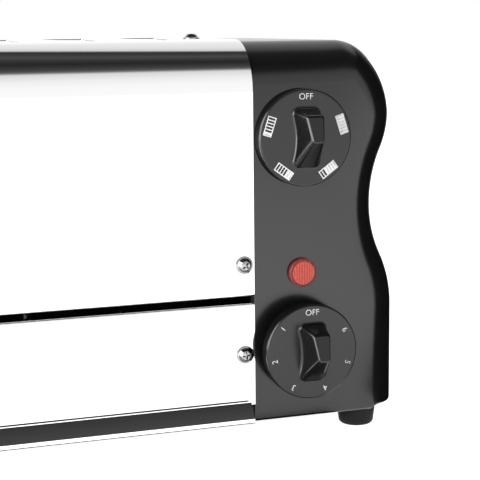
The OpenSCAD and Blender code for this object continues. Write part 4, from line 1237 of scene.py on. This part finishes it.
def pan_head(shape, place):
    """Adds one screw head that faces +Z before it is put in place."""
    head = bmesh.new()
    vert = draw(head, (0.0, -head_sunk), (flange_r, -head_sunk), (flange_r, flange_h),
                (dome_foot, dome_foot_z))
    arc_on(head, vert, (0.0, 0.0, dome_z), dome_turn, DOME_STEPS)
    spun(head, HEAD_STEPS)
    crown = open_edges(head, 2, head_h)
    # A grid of nine unit cells loses its corners and becomes the cross
    cross = bmesh.ops.create_grid(head, x_segments=3, y_segments=3, size=1.5)["verts"]
    cells = [f for f in head.faces if f.verts[0] in cross]
    corners = [f for f in cells if min(abs(f.calc_center_median().x), abs(f.calc_center_median().y)) > 0.6]
    bmesh.ops.delete(head, geom=corners, context="FACES")
    cells = [f for f in cells if f.is_valid]
    cross_face = bmesh.ops.dissolve_faces(head, faces=cells)["region"][0]
    for v in cross_face.verts:
        v.co.x = math.copysign(cross_half_l if abs(v.co.x) > 1.0 else cross_half_w, v.co.x)
        v.co.y = math.copysign(cross_half_l if abs(v.co.y) > 1.0 else cross_half_w, v.co.y)
        v.co.z = head_h
    rims = crown + cross_face.edges[:]
    bmesh.ops.triangle_fill(head, use_beauty=True, use_dissolve=False, edges=rims, normal=(0.0, 0.0, 1.0))
    sunk = verts_of(bmesh.ops.extrude_face_region(head, geom=[cross_face])["geom"])
    bmesh.ops.scale(head, vec=(cross_taper, cross_taper, 1.0), verts=sunk)
    bmesh.ops.translate(head, vec=(0.0, 0.0, -cross_depth), verts=sunk)
    bmesh.ops.delete(head, geom=[cross_face], context="FACES_ONLY")
    add_shape(shape, head, place)


def screw_row(name, node, turn, seat):
    """Heads at the corners of a node's box, turned to face outwards."""
    low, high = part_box(node)
    shape = bmesh.new()
    spots = [(x, z) for x in (low.x + screw_r, high.x - screw_r) for z in (low.z + screw_r, high.z - screw_r)]
    for i, (x, z) in enumerate(spots):
        twist = Matrix.Rotation(side_twist + twist_step * i, 4, "Z")
        pan_head(shape, Matrix.Translation((x, seat, z)) @ Matrix.Rotation(turn, 4, "X") @ twist)
    make_piece(name, shape, screw_chrome, "chassis", "screw_chrome", node)


screw_row("front_screw_heads", "front_screws", math.pi / 2, casing_low.y)
screw_row("rear_screw_heads", "rear_screws", -math.pi / 2, casing_high.y)
top_low, top_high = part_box("top_screws")
shape = bmesh.new()
for i, x in enumerate((top_low.x + screw_r, top_high.x - screw_r)):
    twist = Matrix.Rotation(top_twist + twist_step * i, 4, "Z")
    pan_head(shape, Matrix.Translation((x, (top_low.y + top_high.y) / 2, case_top)) @ twist)
make_piece("top_screw_heads", shape, screw_chrome, "chassis", "screw_chrome", "top_screws")
